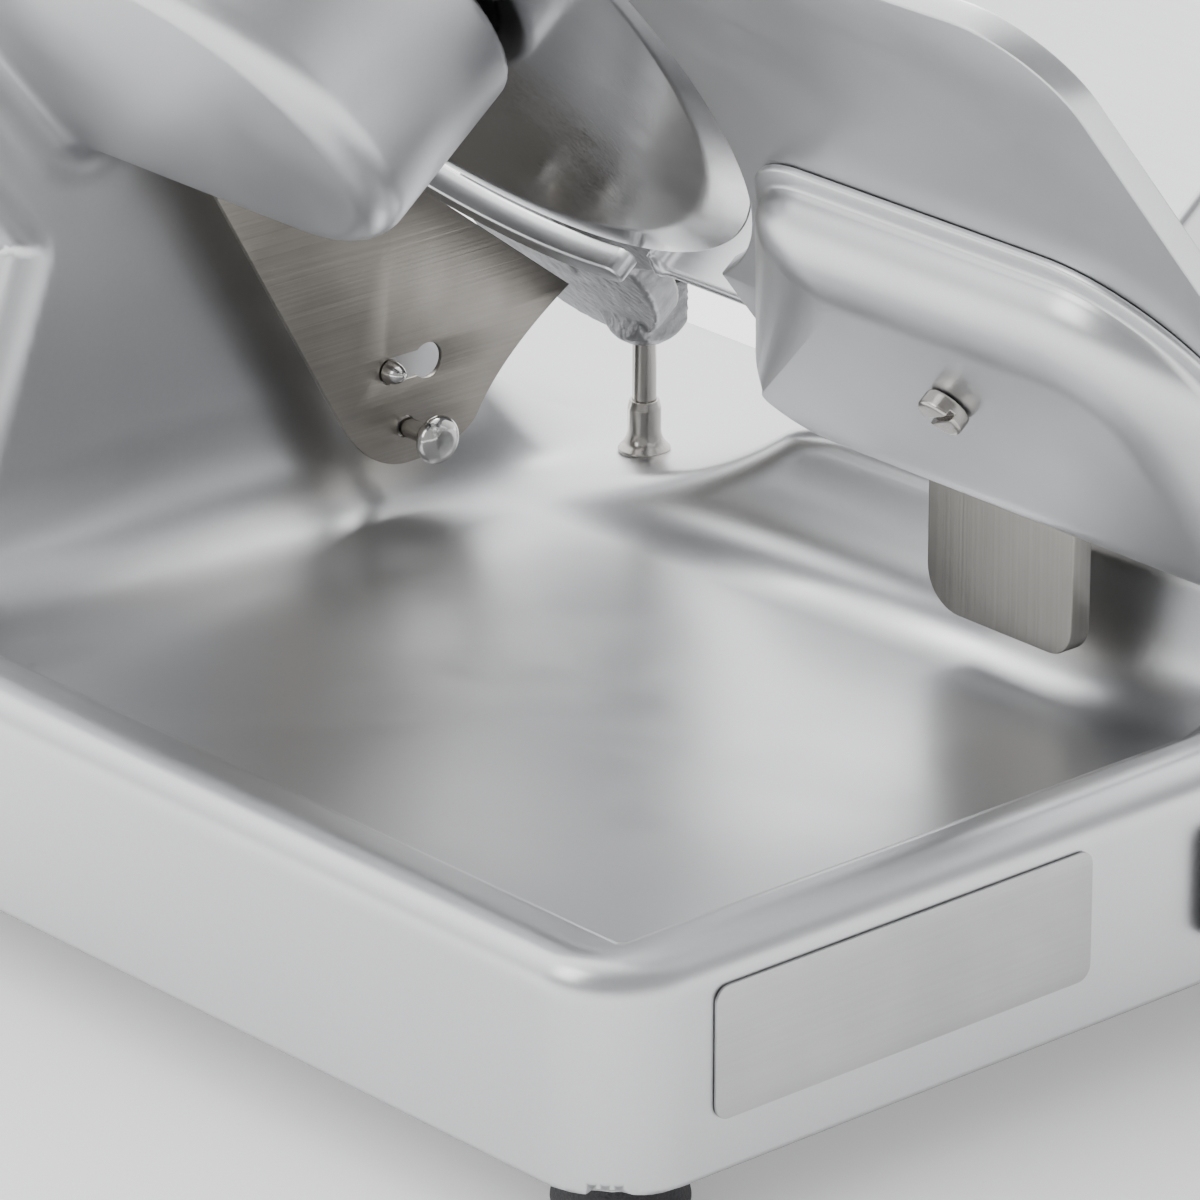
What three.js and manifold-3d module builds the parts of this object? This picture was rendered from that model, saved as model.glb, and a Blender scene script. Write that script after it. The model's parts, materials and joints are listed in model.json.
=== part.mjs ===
// A gravity-feed deli meat slicer, in millimetres, +Z up.
// +X is the operator's right, +Y the back. The knife plane leans to the left, towards the receiving tray.
import * as THREE from 'three';
import { mergeVertices } from 'three/addons/utils/BufferGeometryUtils.js';
import Module from 'manifold-3d';

const wasm = await Module();
wasm.setup();

// ---- Driving dimensions -------------------------------------------------------------------------
const FIT = 0.3; // gap between pieces that touch

const TRAY_WIDTH = 250; // flat receiving tray, rim to pedestal
const TRAY_DEPTH = 336; // flat receiving tray, front rim to column
const DECK_WIDTH = 143; // deck to the right of the tray
const DECK_BEHIND = 150; // deck behind the column's front wall
const RIM_LEFT = 24;
const RIM_FRONT = 22;
const RIM_HEIGHT = 10;
const BASE_DEPTH = 63; // casting below the tray's floor
const BASE_CORNER = 30;
const CASTING_WALL = 5;
const FOOT_HEIGHT = 25;
const FOOT_RADIUS = 21;
const FOOT_INSET = 42;

const KNIFE_LEAN = THREE.MathUtils.degToRad(38); // knife plane from the vertical
const KNIFE_PLANE_X = TRAY_WIDTH + 12; // where the column's right face line meets the deck
const KNIFE_RADIUS = 150;
const KNIFE_THICK = 4;
const KNIFE_ALONG = -112; // knife centre from the column's front wall, towards the operator
const KNIFE_RISE = KNIFE_RADIUS + 146; // knife centre up the slope of the knife plane
const KNIFE_GAP = 4; // between the knife's edge and what surrounds it

const COLUMN_LEFT = 9;
const COLUMN_THICK = 120;
const COLUMN_LEAN = THREE.MathUtils.degToRad(20); // left side's lean
const COLUMN_FACE = 3; // right face from the knife plane's line
const COLUMN_NECK = 100; // housing depth behind the right face
const COLUMN_TOP = KNIFE_RISE + 114; // up the slope
const COLUMN_WALL = 6;

const HUB_RADIUS = 68; // knife arm
const HUB_DEPTH = 65;
const CARRIER_RADIUS = 56;
const CARRIER_PLATE = 3;
const SLEEVE_RADIUS = 30;
const SPINDLE_RADIUS = 12;
const BEARING_RADIUS = 25;
const BEARING_WIDTH = 8;
const WHEEL_RADIUS = 37;
const WHEEL_WIDTH = 16;
const WHEEL_TEETH = 30;
const WORM_RADIUS = 9;
const MOTOR_RADIUS = 33;
const MOTOR_LENGTH = 78;

const GUARD_WIDTH = 8;
const GUARD_DEPTH = 9;
const COVER_RADIUS = KNIFE_RADIUS - 38;
const COVER_THICK = 3;

const PEDESTAL_HEIGHT = 46;
const PEDESTAL_BACK = -68; // where its back slope meets the deck
const PEDESTAL_SLOPE = 66; // length of the back slope
const PEDESTAL_FRONT = -TRAY_DEPTH - 12;
const PEDESTAL_SKEW = 12; // left wall turns away from the tray towards the front

const GAUGE_TRAVEL = 20; // thickest slice
const GAUGE_THICK = 8;
const GAUGE_FRONT = KNIFE_ALONG - 348;
const GAUGE_BACK = KNIFE_ALONG - 88;
const GAUGE_LOW = 100;
const GAUGE_HIGH = 375;
const HULL_FRONT = GAUGE_FRONT + 23;
const HULL_BACK = GAUGE_BACK + 12;
const HULL_TOP_BACK = GAUGE_BACK - 75;
const HULL_LOW = 112;
const HULL_HIGH = 250;
const HULL_DEPTH = 22;
const HULL_ROUND = 28;
const HULL_WALL = 2.5;
const HULL_CORNER = 32; // lower back corner
const HULL_NOSE = 44; // front corners
const HULL_FLANGE = 8;
const HULL_FLANGE_THICK = 2.4;
const SCREW_RADIUS = 7.5;
const SCREW_BACK = 105; // from the hull's front
const SCREW_UP = 78; // from the hull's low edge

const BRACKET_Y = GAUGE_BACK - 50; // middle of the gauge bracket
const BRACKET_WIDTH = 50;
const LEG_X = KNIFE_PLANE_X + 44;
const LEG_THICK = 20;
const LEG_WIDTH = 24;
const LEG_LOW = -10;
const GUIDE_RADIUS = 7;
const GUIDE_COLLAR = 9;
const GUIDE_Z = 12;
const SHIELD_WIDTH = 64;
const SHIELD_THICK = 8;
const SHIELD_X = KNIFE_PLANE_X - 30;
const SHIELD_LOW = 14.5;

const KNOB_Z = -24;
const KNOB_RADIUS = 30;
const KNOB_DEPTH = 30;
const INDEX_SHAFT_RADIUS = 6;
const INDEX_TURN = THREE.MathUtils.degToRad(300);
const CAM_LOW = 17.5;
const KNOB_X = LEG_X + LEG_THICK / 2 + CAM_LOW + 1;

const SHEET_Y = -20; // deflector's back face
const SHEET_THICK = 1.8;
const PIN_RADIUS = 4;
const PIN_X = KNIFE_PLANE_X - 82;
const PIN_Z = 49.5;
const KEYHOLE_RUN = 16;
const MUSHROOM_X = PIN_X + 6.5;
const MUSHROOM_Z = 29;
const MUSHROOM_STEM = 3.2;
const MUSHROOM_HEAD = 8.25;

const RAIL_OFFSET = 21; // rail's axis from the base's right side
const RAIL_X = TRAY_WIDTH + DECK_WIDTH + RAIL_OFFSET;
const RAIL_Z = -34;
const RAIL_RADIUS = 9;
const BLOCK_LENGTH = 100;
const BLOCK_FRONT = -TRAY_DEPTH + 14;
const BLOCK_HALF = 17;
const PIVOT_Z = 30;
const PIVOT_RADIUS = 5;
const PIVOT_EYE = 14;
const ARM_Y = BLOCK_FRONT + 54; // middle of the tilting arm
const ARM_WIDTH = 24;
const CHEEK = 10;

const TRAY_STANDOFF = 16; // product tray from the knife plane
const TRAY_FLOOR = 128;
const TRAY_SHEET = 4;
const TRAY_LENGTH = 285;
const TRAY_FRONT = ARM_Y - 172;
const TRAY_BACK = ARM_Y + 138;
const TRAY_WALL_HIGH = 270;
const TRAY_LIP = 6;

const PUSHER_ROD_RADIUS = 8;
const PUSHER_ROD_Y = TRAY_BACK + 18;
const PUSHER_ROD_RISE = 140;
const PUSHER_START = 52; // hub's near end from the knife plane
const PUSHER_HUB_LENGTH = 40;
const GRIP_RADIUS = 47;
const GRIP_Y = TRAY_BACK + 110;
const GRIP_RISE = 72;
const GRIP_NEAR = 62;
const GRIP_THICK = 8;
const TOOTH = 6.5;
const ARM_PLANE = GRIP_NEAR + GRIP_THICK + FIT; // pusher arm's near face
const ARM_THICK = 12;
const LATCH_RADIUS = 41; // round end of the latch bracket
const LATCH_Y = TRAY_BACK + 108;
const LATCH_RISE = 64;
const LATCH_NEAR = 36;
const LATCH_THICK = 13;
const BOSS_X = KNIFE_PLANE_X + 17;
const BOSS_Y = TRAY_BACK + 96;
const BOSS_LOW = 38.5;
const BOSS_HIGH = 62;
const BOSS_RADIUS = 15;
const BOSS_TURN = THREE.MathUtils.degToRad(-139); // direction of one corner, in plan
const PULL_ROD_RADIUS = 4;
const PULL_SLEEVE_RADIUS = 5.6;
const PULL_FLARE_RADIUS = 8.8;
const PULL_TRAVEL = 5;
const DECK_CLEAR = 1;

const SHARPENER_Y = -45;
const SHARPENER_WIDTH = 60;
const STONE_RADIUS = 20;
const STONE_THICK = 8;
const STONE_BITE = 6; // how far the stones' rims reach below the knife's edge
const STONE_RISE = KNIFE_RISE + Math.sqrt(KNIFE_RADIUS ** 2 - (SHARPENER_Y - KNIFE_ALONG) ** 2)
  + STONE_RADIUS - STONE_BITE;
const PRESS_ROD_RADIUS = 5;

// ---- Frames -------------------------------------------------------------------------------------
const AXIS_X = new THREE.Vector3(1, 0, 0);
const AXIS_Y = new THREE.Vector3(0, 1, 0);
const AXIS_Z = new THREE.Vector3(0, 0, 1);
const UP_SLOPE = new THREE.Vector3(-Math.sin(KNIFE_LEAN), 0, Math.cos(KNIFE_LEAN));
const OUTWARD = new THREE.Vector3(Math.cos(KNIFE_LEAN), 0, Math.sin(KNIFE_LEAN));
// Knife frame: x runs back, y up the slope, z out of the knife plane towards the product.
const knifeFrame = new THREE.Matrix4().makeBasis(AXIS_Y, UP_SLOPE, OUTWARD).setPosition(KNIFE_PLANE_X,
  0, 0);
// Side frame: a profile drawn in (y, z) and extruded along x.
const sideFrame = new THREE.Matrix4().makeBasis(AXIS_Y, AXIS_Z, AXIS_X);

const BASE_LEFT = -RIM_LEFT;
const BASE_RIGHT = TRAY_WIDTH + DECK_WIDTH;
const BASE_FRONT = -TRAY_DEPTH - RIM_FRONT;
const FLOOR_THICK = CASTING_WALL;

/** Point of the knife frame (rise up the slope, distance out) as a point [x, z] of the front view. */
function frontPoint(rise, out) {
  const point = UP_SLOPE.clone().multiplyScalar(rise).addScaledVector(OUTWARD, out);
  return [KNIFE_PLANE_X + point.x, point.z];
}

// ---- Geometry helpers ---------------------------------------------------------------------------
function toSolid(geometry) {
  const bare = geometry.clone();
  bare.deleteAttribute('normal');
  bare.deleteAttribute('uv');
  const merged = mergeVertices(bare, 1e-4);
  const vertProperties = new Float32Array(merged.attributes.position.array);
  const triVerts = new Uint32Array(merged.index.array);
  return new wasm.Manifold(new wasm.Mesh({ numProp: 3, vertProperties, triVerts }));
}

function fromSolid(solid) {
  const mesh = solid.getMesh();
  const geometry = new THREE.BufferGeometry();
  geometry.setAttribute('position', new THREE.BufferAttribute(new Float32Array(mesh.vertProperties), 3));
  geometry.setIndex(new THREE.BufferAttribute(new Uint32Array(mesh.triVerts), 1));
  geometry.computeVertexNormals();
  return geometry;
}

function join(...pieces) {
  return fromSolid(pieces.map(toSolid).reduce((whole, piece) => whole.add(piece)));
}

function cut(piece, ...tools) {
  return fromSolid(tools.map(toSolid).reduce((whole, tool) => whole.subtract(tool), toSolid(piece)));
}

function box(x0, x1, y0, y1, z0, z1) {
  const geometry = new THREE.BoxGeometry(x1 - x0, y1 - y0, z1 - z0);
  return geometry.translate((x0 + x1) / 2, (y0 + y1) / 2, (z0 + z1) / 2);
}

/** Outline through the given corners, each rounded to its radius: [x, y, radius]. */
function outline(corners) {
  const shape = new THREE.Shape();
  corners.forEach(([x, y, radius = 0], i) => {
    const here = new THREE.Vector2(x, y);
    const last = new THREE.Vector2(...corners.at(i - 1).slice(0, 2));
    const next = new THREE.Vector2(...corners[(i + 1) % corners.length].slice(0, 2));
    const into = last.sub(here).normalize();
    const away = next.sub(here).normalize();
    const half = Math.acos(THREE.MathUtils.clamp(into.dot(away), -1, 1)) / 2;
    const trim = radius / Math.tan(half);
    const start = here.clone().addScaledVector(into, trim);
    const end = here.clone().addScaledVector(away, trim);
    if (i === 0) shape.moveTo(start.x, start.y);
    else shape.lineTo(start.x, start.y);
    if (radius > 0) {
      const weight = (4 / 3) * Math.tan((Math.PI - 2 * half) / 4) * radius;
      const a = start.clone().addScaledVector(into, -weight);
      const b = end.clone().addScaledVector(away, -weight);
      shape.bezierCurveTo(a.x, a.y, b.x, b.y, end.x, end.y);
    }
  });
  shape.closePath();
  return shape;
}

function rectangle(x0, x1, y0, y1, radius = 0) {
  return outline([[x0, y0, radius], [x1, y0, radius], [x1, y1, radius], [x0, y1, radius]]);
}

/** Plate of a shape between two heights, its edges rounded by the given amount. */
function slab(shape, z0, z1, round = 0, curveSegments = 6, reach = round) {
  const settings = { depth: z1 - z0 - 2 * reach, bevelEnabled: round > 0, curveSegments };
  if (round > 0) {
    Object.assign(settings, { bevelSize: round, bevelOffset: -round, bevelThickness: reach,
      bevelSegments: round > 2 ? 4 : 1 });
  }
  return new THREE.ExtrudeGeometry(shape, settings).translate(0, 0, z0 + reach);
}

/** Profile drawn in the front view (x, z), extruded from y0 back to y1. */
function frontSlab(shape, y0, y1, round = 0, curveSegments = 6) {
  return slab(shape, -y1, -y0, round, curveSegments).rotateX(Math.PI / 2);
}

/** Turned piece about local z; the profile is [radius, height] from the axis back to the axis. */
function turned(profile, segments = 20) {
  const points = profile.map(([radius, height]) => new THREE.Vector2(radius, height));
  if (THREE.ShapeUtils.area(points) < 0) points.reverse(); // counter-clockwise, so that faces point out
  return new THREE.LatheGeometry(points, segments).rotateX(Math.PI / 2);
}

function rod(radius, z0, z1, segments = 16, chamfer = Math.min(0.6, radius / 4)) {
  const profile = [[0, z0], [radius - chamfer, z0], [radius, z0 + chamfer]];
  profile.push([radius, z1 - chamfer], [radius - chamfer, z1], [0, z1]);
  return turned(profile, segments);
}

/** Ring about local z, its section a closed rectangle. */
function ring(inner, outer, z0, z1, segments = 28) {
  return turned([[inner, z0], [outer, z0], [outer, z1], [inner, z1], [inner, z0]], segments);
}

/** Turns a piece made about z so that its z runs along -Y, towards the operator. */
function facingFront(geometry, x, y, z) {
  return geometry.rotateX(Math.PI / 2).translate(x, y, z);
}

// ---- Materials and assembly ---------------------------------------------------------------------
function metal(color, roughness) {
  return () => new THREE.MeshStandardMaterial({ color, roughness, metalness: 1 });
}

function plain(color, roughness) {
  return () => new THREE.MeshStandardMaterial({ color, roughness, metalness: 0 });
}

const satinAluminium = metal(0xb7bbc0, 0.34);
const brushedSteel = metal(0xa9a49a, 0.38);
const polishedSteel = metal(0xc9cbce, 0.16);
const roughCasting = metal(0x6c6d70, 0.62);
const blackPlastic = plain(0x1d1e20, 0.42);
const greyRubber = plain(0x34353a, 0.85);
const redPlastic = plain(0xb3221d, 0.35);
const greenPlastic = plain(0x2c8a48, 0.35);
const stoneGrit = plain(0xa88f78, 0.95);
const darkSteel = metal(0x55575b, 0.5);
const bronze = metal(0xa9814a, 0.4);

const slicer = new THREE.Group();
const tilted = new THREE.Group();
tilted.applyMatrix4(knifeFrame);
slicer.add(tilted);

function add(parent, name, geometry, finish) {
  const mesh = new THREE.Mesh(geometry, finish());
  mesh.name = name;
  parent.add(mesh);
  return mesh;
}

// ---- Base casting -------------------------------------------------------------------------------
/** Front-view outline of the column, drawn inwards by the given inset. */
function columnOutline(inset, foot, radius) {
  const left = COLUMN_LEFT + inset / Math.cos(COLUMN_LEAN);
  const slopeLeft = (z) => left + z * Math.tan(COLUMN_LEAN);
  const back = COLUMN_FACE - COLUMN_NECK + inset;
  const face = inset > 0 ? COLUMN_FACE - inset : COLUMN_FACE + 30;
  const top = COLUMN_TOP - inset;
  const rightAt = (z, out) => KNIFE_PLANE_X + out / Math.cos(KNIFE_LEAN) - z * Math.tan(KNIFE_LEAN);
  // The left side and the housing's back meet where both lines have the same x.
  const neck = (rightAt(0, back) - left) / (Math.tan(COLUMN_LEAN) + Math.tan(KNIFE_LEAN));
  return outline([
    [slopeLeft(foot), foot],
    [rightAt(foot, face), foot],
    frontPoint(top, face),
    [...frontPoint(top, back), radius * 1.6],
    [slopeLeft(neck), neck, radius * 3],
  ]);
}

/** Outline of the knife arm in the knife frame. */
function hubOutline(inset, reachBack) {
  const radius = HUB_RADIUS - inset;
  const shape = new THREE.Shape();
  shape.moveTo(reachBack, KNIFE_RISE - radius);
  shape.lineTo(reachBack, KNIFE_RISE + radius);
  shape.absarc(KNIFE_ALONG, KNIFE_RISE, radius, Math.PI / 2, (3 * Math.PI) / 2, false);
  shape.closePath();
  return shape;
}

function column() {
  const bulk = frontSlab(columnOutline(0, -FLOOR_THICK, 14), 0, COLUMN_THICK, 10, 4);
  const arm = slab(hubOutline(0, COLUMN_THICK / 4), COLUMN_FACE - HUB_DEPTH, COLUMN_FACE + 20, 10, 14);
  const beyondFace = box(-400, 400, -100, 700, COLUMN_FACE, 120);
  return cut(join(bulk, arm.applyMatrix4(knifeFrame)), beyondFace.applyMatrix4(knifeFrame));
}

/** Room inside the column, its open back, and the round rooms of the knife arm. */
function columnHollow() {
  const wall = COLUMN_WALL;
  const roomBack = COLUMN_THICK - wall;
  const room = frontSlab(columnOutline(wall, -FLOOR_THICK - 3, 8), wall, roomBack, 0, 3);
  const window = frontSlab(columnOutline(2 * wall, 2 * wall, 8), roomBack - wall, COLUMN_THICK + wall,
    0, 3);
  const armBack = COLUMN_FACE - HUB_DEPTH + wall;
  const armRoom = slab(hubOutline(wall + 1, wall + 10), armBack, COLUMN_FACE - wall - 2, 0, 12);
  const wheelWay = rod(WHEEL_RADIUS + 4, armBack + wall, COLUMN_FACE + wall, 32, 0);
  const seat = rod(CARRIER_RADIUS + FIT, COLUMN_FACE - CARRIER_PLATE, COLUMN_FACE + wall, 32, 0);
  const round = [wheelWay, seat].map((piece) => piece.translate(KNIFE_ALONG, KNIFE_RISE, 0));
  return [room, window, ...[armRoom, ...round].map((piece) => piece.applyMatrix4(knifeFrame))];
}

function pedestal() {
  const left = TRAY_WIDTH;
  const right = BASE_RIGHT - 3;
  const foot = outline([[left, PEDESTAL_BACK], [right, PEDESTAL_BACK],
    [right, PEDESTAL_FRONT, 12], [left + PEDESTAL_SKEW, PEDESTAL_FRONT, 12]]);
  const block = slab(foot, -FLOOR_THICK - 8, PEDESTAL_HEIGHT, 8, 4);
  const wedge = new THREE.Shape();
  wedge.moveTo(PEDESTAL_BACK - PEDESTAL_SLOPE, PEDESTAL_HEIGHT);
  wedge.lineTo(PEDESTAL_BACK, 0);
  wedge.lineTo(PEDESTAL_BACK + 40, 0);
  wedge.lineTo(PEDESTAL_BACK + 40, PEDESTAL_HEIGHT * 2);
  wedge.lineTo(PEDESTAL_BACK - PEDESTAL_SLOPE, PEDESTAL_HEIGHT * 2);
  const slope = slab(wedge, 0, 600).applyMatrix4(sideFrame);
  return cut(block, slope);
}

function pedestalHollow() {
  const wall = CASTING_WALL + 1;
  const room = box(TRAY_WIDTH + PEDESTAL_SKEW + wall, BASE_RIGHT - 3 - wall,
    PEDESTAL_FRONT + wall + 2, PEDESTAL_BACK - PEDESTAL_SLOPE - wall, -FLOOR_THICK - 10,
    PEDESTAL_HEIGHT - wall);
  const drop = GAUGE_TRAVEL * OUTWARD.x;
  const clear = 3;
  const slot = box(LEG_X - LEG_THICK / 2 - drop - clear, LEG_X + LEG_THICK / 2 + clear,
    BRACKET_Y - LEG_WIDTH / 2 - clear, BRACKET_Y + LEG_WIDTH / 2 + clear, 0, PEDESTAL_HEIGHT + 10);
  return [room, slot];
}

function baseCasting() {
  const bottom = -BASE_DEPTH;
  const lump = slab(rectangle(BASE_LEFT, BASE_RIGHT, BASE_FRONT, DECK_BEHIND, BASE_CORNER), bottom - 12,
    RIM_HEIGHT, 9, 5);
  const pocket = slab(rectangle(0, BASE_RIGHT + 90, -TRAY_DEPTH, DECK_BEHIND + 90, 14), 0, 80, 8, 4);
  const under = box(-300, 700, -700, 500, bottom - 60, bottom);
  const room = slab(rectangle(BASE_LEFT + CASTING_WALL, BASE_RIGHT - CASTING_WALL,
    BASE_FRONT + CASTING_WALL,
    DECK_BEHIND - CASTING_WALL, BASE_CORNER - CASTING_WALL), bottom - 20, -FLOOR_THICK, 0, 4);
  const shaftHole = facingFront(rod(INDEX_SHAFT_RADIUS + 1, -40, 40, 16, 0), KNOB_X, BASE_FRONT, KNOB_Z);
  const shell = cut(lump, pocket, under);
  return cut(join(shell, column(), pedestal()), room, shaftHole, ...columnHollow(), ...pedestalHollow());
}

add(slicer, 'base_casting', baseCasting(), satinAluminium);

function bottomCover() {
  const edge = CASTING_WALL + FIT;
  const shape = rectangle(BASE_LEFT + edge, BASE_RIGHT - edge, BASE_FRONT + edge, DECK_BEHIND - edge,
    BASE_CORNER - edge);
  return slab(shape, -BASE_DEPTH, -BASE_DEPTH + 2, 0, 4);
}

add(slicer, 'bottom_cover', bottomCover(), brushedSteel);

function foot() {
  const top = -BASE_DEPTH - FIT;
  const low = -BASE_DEPTH - FOOT_HEIGHT;
  return turned([[0, low], [FOOT_RADIUS - 3, low], [FOOT_RADIUS, low + 3], [FOOT_RADIUS - 4, top],
    [0, top]], 18);
}

const footPlaces = {
  front_left: [BASE_LEFT + FOOT_INSET, BASE_FRONT + FOOT_INSET],
  front_right: [BASE_RIGHT - FOOT_INSET, BASE_FRONT + FOOT_INSET],
  back_left: [BASE_LEFT + FOOT_INSET, DECK_BEHIND - FOOT_INSET],
  back_right: [BASE_RIGHT - FOOT_INSET, DECK_BEHIND - FOOT_INSET],
};
for (const [corner, [x, y]] of Object.entries(footPlaces)) {
  add(slicer, `foot_${corner}`, foot(), greyRubber).position.set(x, y, 0);
}

const NAMEPLATE_RIGHT = 166;
const NAMEPLATE_TOP = -3;
const NAMEPLATE_HEIGHT = 42;
const plate = rectangle(NAMEPLATE_RIGHT - 150, NAMEPLATE_RIGHT, NAMEPLATE_TOP - NAMEPLATE_HEIGHT,
  NAMEPLATE_TOP, 5);
add(slicer, 'nameplate', frontSlab(plate, BASE_FRONT - FIT - 1, BASE_FRONT - FIT, 0, 4), brushedSteel);

function powerInlet() {
  const gland = turned([[0, 0], [15, 0], [15, 4], [10, 6], [10, 16], [7, 19], [4.5, 19], [4.5, 4],
    [0, 4]], 18);
  return gland.rotateX(-Math.PI / 2).translate(60, DECK_BEHIND + FIT, -BASE_DEPTH / 2);
}

add(slicer, 'power_inlet', powerInlet(), blackPlastic);

const columnCover = frontSlab(columnOutline(COLUMN_WALL, COLUMN_WALL, 8), COLUMN_THICK + FIT,
  COLUMN_THICK + 3, 0, 4);
add(slicer, 'column_back_cover', columnCover, satinAluminium);

// ---- Switches -----------------------------------------------------------------------------------
const BUTTON_RADIUS = 9;
const BUTTON_TRAVEL = 3;
const BUTTON_Z = -KNOB_RADIUS;
const PLATE_THICK = 3;
const buttonXs = { start_button: 232, stop_button: 272 };

function switchPlate() {
  const xs = Object.values(buttonXs);
  const margin = BUTTON_RADIUS + 9;
  const shape = rectangle(xs[0] - margin, xs[1] + margin, BUTTON_Z - margin, BUTTON_Z + margin, 6);
  const face = frontSlab(shape, BASE_FRONT - FIT - PLATE_THICK - 4, BASE_FRONT - FIT, 0, 4);
  const holes = xs.map((x) => facingFront(rod(BUTTON_RADIUS + 0.6, -20, 20, 18, 0), x, BASE_FRONT,
    BUTTON_Z));
  return cut(face, ...holes);
}

add(slicer, 'switch_plate', switchPlate(), blackPlastic);
for (const [name, x] of Object.entries(buttonXs)) {
  const stand = PLATE_THICK + 4 + BUTTON_TRAVEL + 1.5;
  const cap = rod(BUTTON_RADIUS, BUTTON_TRAVEL + 2 * FIT, stand, 18, 1.2);
  add(slicer, name, facingFront(cap, x, BASE_FRONT, BUTTON_Z),
    name === 'start_button' ? greenPlastic : redPlastic);
}

// ---- Knife drive (in the knife frame, about the knife's axis) -----------------------------------
const spindle = new THREE.Group();
spindle.position.set(KNIFE_ALONG, KNIFE_RISE, 0);
tilted.add(spindle);

const SLEEVE_BACK = -27;
const carrierFace = COLUMN_FACE;
const carrier = turned([[BEARING_RADIUS - 3, carrierFace - CARRIER_PLATE + FIT],
  [BEARING_RADIUS - 3, carrierFace],
  [CARRIER_RADIUS, carrierFace], [CARRIER_RADIUS, carrierFace - CARRIER_PLATE + FIT],
  [SLEEVE_RADIUS, carrierFace - CARRIER_PLATE + FIT], [SLEEVE_RADIUS, SLEEVE_BACK],
  [BEARING_RADIUS + FIT, SLEEVE_BACK], [BEARING_RADIUS + FIT, carrierFace - CARRIER_PLATE + FIT],
  [BEARING_RADIUS - 3, carrierFace - CARRIER_PLATE + FIT]], 32);
add(spindle, 'spindle_carrier', carrier, darkSteel);

const bearingTop = carrierFace - CARRIER_PLATE;
const bearingBacks = { front_bearing: bearingTop - BEARING_WIDTH, rear_bearing: SLEEVE_BACK + 1 };
for (const [name, back] of Object.entries(bearingBacks)) {
  add(spindle, name, ring(SPINDLE_RADIUS + FIT, BEARING_RADIUS, back, back + BEARING_WIDTH),
    polishedSteel);
}

const KNIFE_BACK = COLUMN_FACE + 4.5;
const KNIFE_FACE = KNIFE_BACK + KNIFE_THICK;
const WHEEL_FACE = SLEEVE_BACK - 2;
add(spindle, 'knife_spindle', rod(SPINDLE_RADIUS, WHEEL_FACE - WHEEL_WIDTH - 2, KNIFE_FACE, 18),
  polishedSteel);

const knifeHub = ring(SPINDLE_RADIUS + FIT, 34, COLUMN_FACE + 0.7, KNIFE_BACK - FIT, 22);
add(spindle, 'knife_hub', knifeHub, darkSteel);

function knifeDisc() {
  const bevel = 14;
  return turned([[SPINDLE_RADIUS + FIT, KNIFE_BACK], [KNIFE_RADIUS - bevel, KNIFE_BACK],
    [KNIFE_RADIUS, KNIFE_FACE - 0.4], [KNIFE_RADIUS, KNIFE_FACE], [SPINDLE_RADIUS + FIT, KNIFE_FACE],
    [SPINDLE_RADIUS + FIT, KNIFE_BACK]], 56);
}

add(spindle, 'knife', knifeDisc(), polishedSteel);

function wormWheel() {
  const shape = new THREE.Shape();
  const tooth = 4;
  for (let i = 0; i < WHEEL_TEETH; i += 1) {
    const pitch = (2 * Math.PI) / WHEEL_TEETH;
    const corners = [[-0.3, WHEEL_RADIUS - tooth], [-0.15, WHEEL_RADIUS], [0.15, WHEEL_RADIUS],
      [0.3, WHEEL_RADIUS - tooth]];
    corners.forEach(([turn, radius], k) => {
      const angle = (i + turn) * pitch;
      const method = i === 0 && k === 0 ? 'moveTo' : 'lineTo';
      shape[method](radius * Math.cos(angle), radius * Math.sin(angle));
    });
  }
  shape.closePath();
  const blank = slab(shape, WHEEL_FACE - WHEEL_WIDTH, WHEEL_FACE);
  return cut(blank, rod(SPINDLE_RADIUS + FIT, WHEEL_FACE - 40, WHEEL_FACE + 10, 18, 0));
}

add(spindle, 'worm_wheel', wormWheel(), bronze);

// The motor lies along the knife frame's x, below the wheel, with its worm under the wheel's rim.
const drive = new THREE.Group();
drive.position.set(0, KNIFE_RISE - WHEEL_RADIUS - WORM_RADIUS - 0.7, WHEEL_FACE - WHEEL_WIDTH / 2);
drive.rotation.y = Math.PI / 2;
tilted.add(drive);

const MOTOR_BACK = COLUMN_THICK - 6;
const MOTOR_FRONT = MOTOR_BACK - MOTOR_LENGTH;
const SHAFT_HOLE = 7;
function motorCan() {
  return turned([[SHAFT_HOLE + 1, MOTOR_FRONT], [SHAFT_HOLE + 8, MOTOR_FRONT - 6],
    [MOTOR_RADIUS - 4, MOTOR_FRONT],
    [MOTOR_RADIUS, MOTOR_FRONT + 4], [MOTOR_RADIUS, MOTOR_BACK - 4], [MOTOR_RADIUS - 4, MOTOR_BACK],
    [SHAFT_HOLE + 1, MOTOR_BACK], [SHAFT_HOLE + 1, MOTOR_FRONT]], 22);
}

add(drive, 'motor', motorCan(), darkSteel);

function wormShaft() {
  const tip = KNIFE_ALONG - 28;
  const profile = [[0, tip], [5, tip]];
  const threads = 5;
  const lead = 7;
  const start = KNIFE_ALONG - (threads * lead) / 2;
  for (let i = 0; i < threads; i += 1) {
    const z = start + i * lead;
    profile.push([WORM_RADIUS - 3, z], [WORM_RADIUS, z + 2], [WORM_RADIUS, z + 4],
      [WORM_RADIUS - 3, z + 6]);
  }
  profile.push([SHAFT_HOLE, KNIFE_ALONG + 40], [SHAFT_HOLE, MOTOR_BACK - 2], [0, MOTOR_BACK - 2]);
  return turned(profile, 14);
}

add(drive, 'worm_shaft', wormShaft(), polishedSteel);

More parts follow.
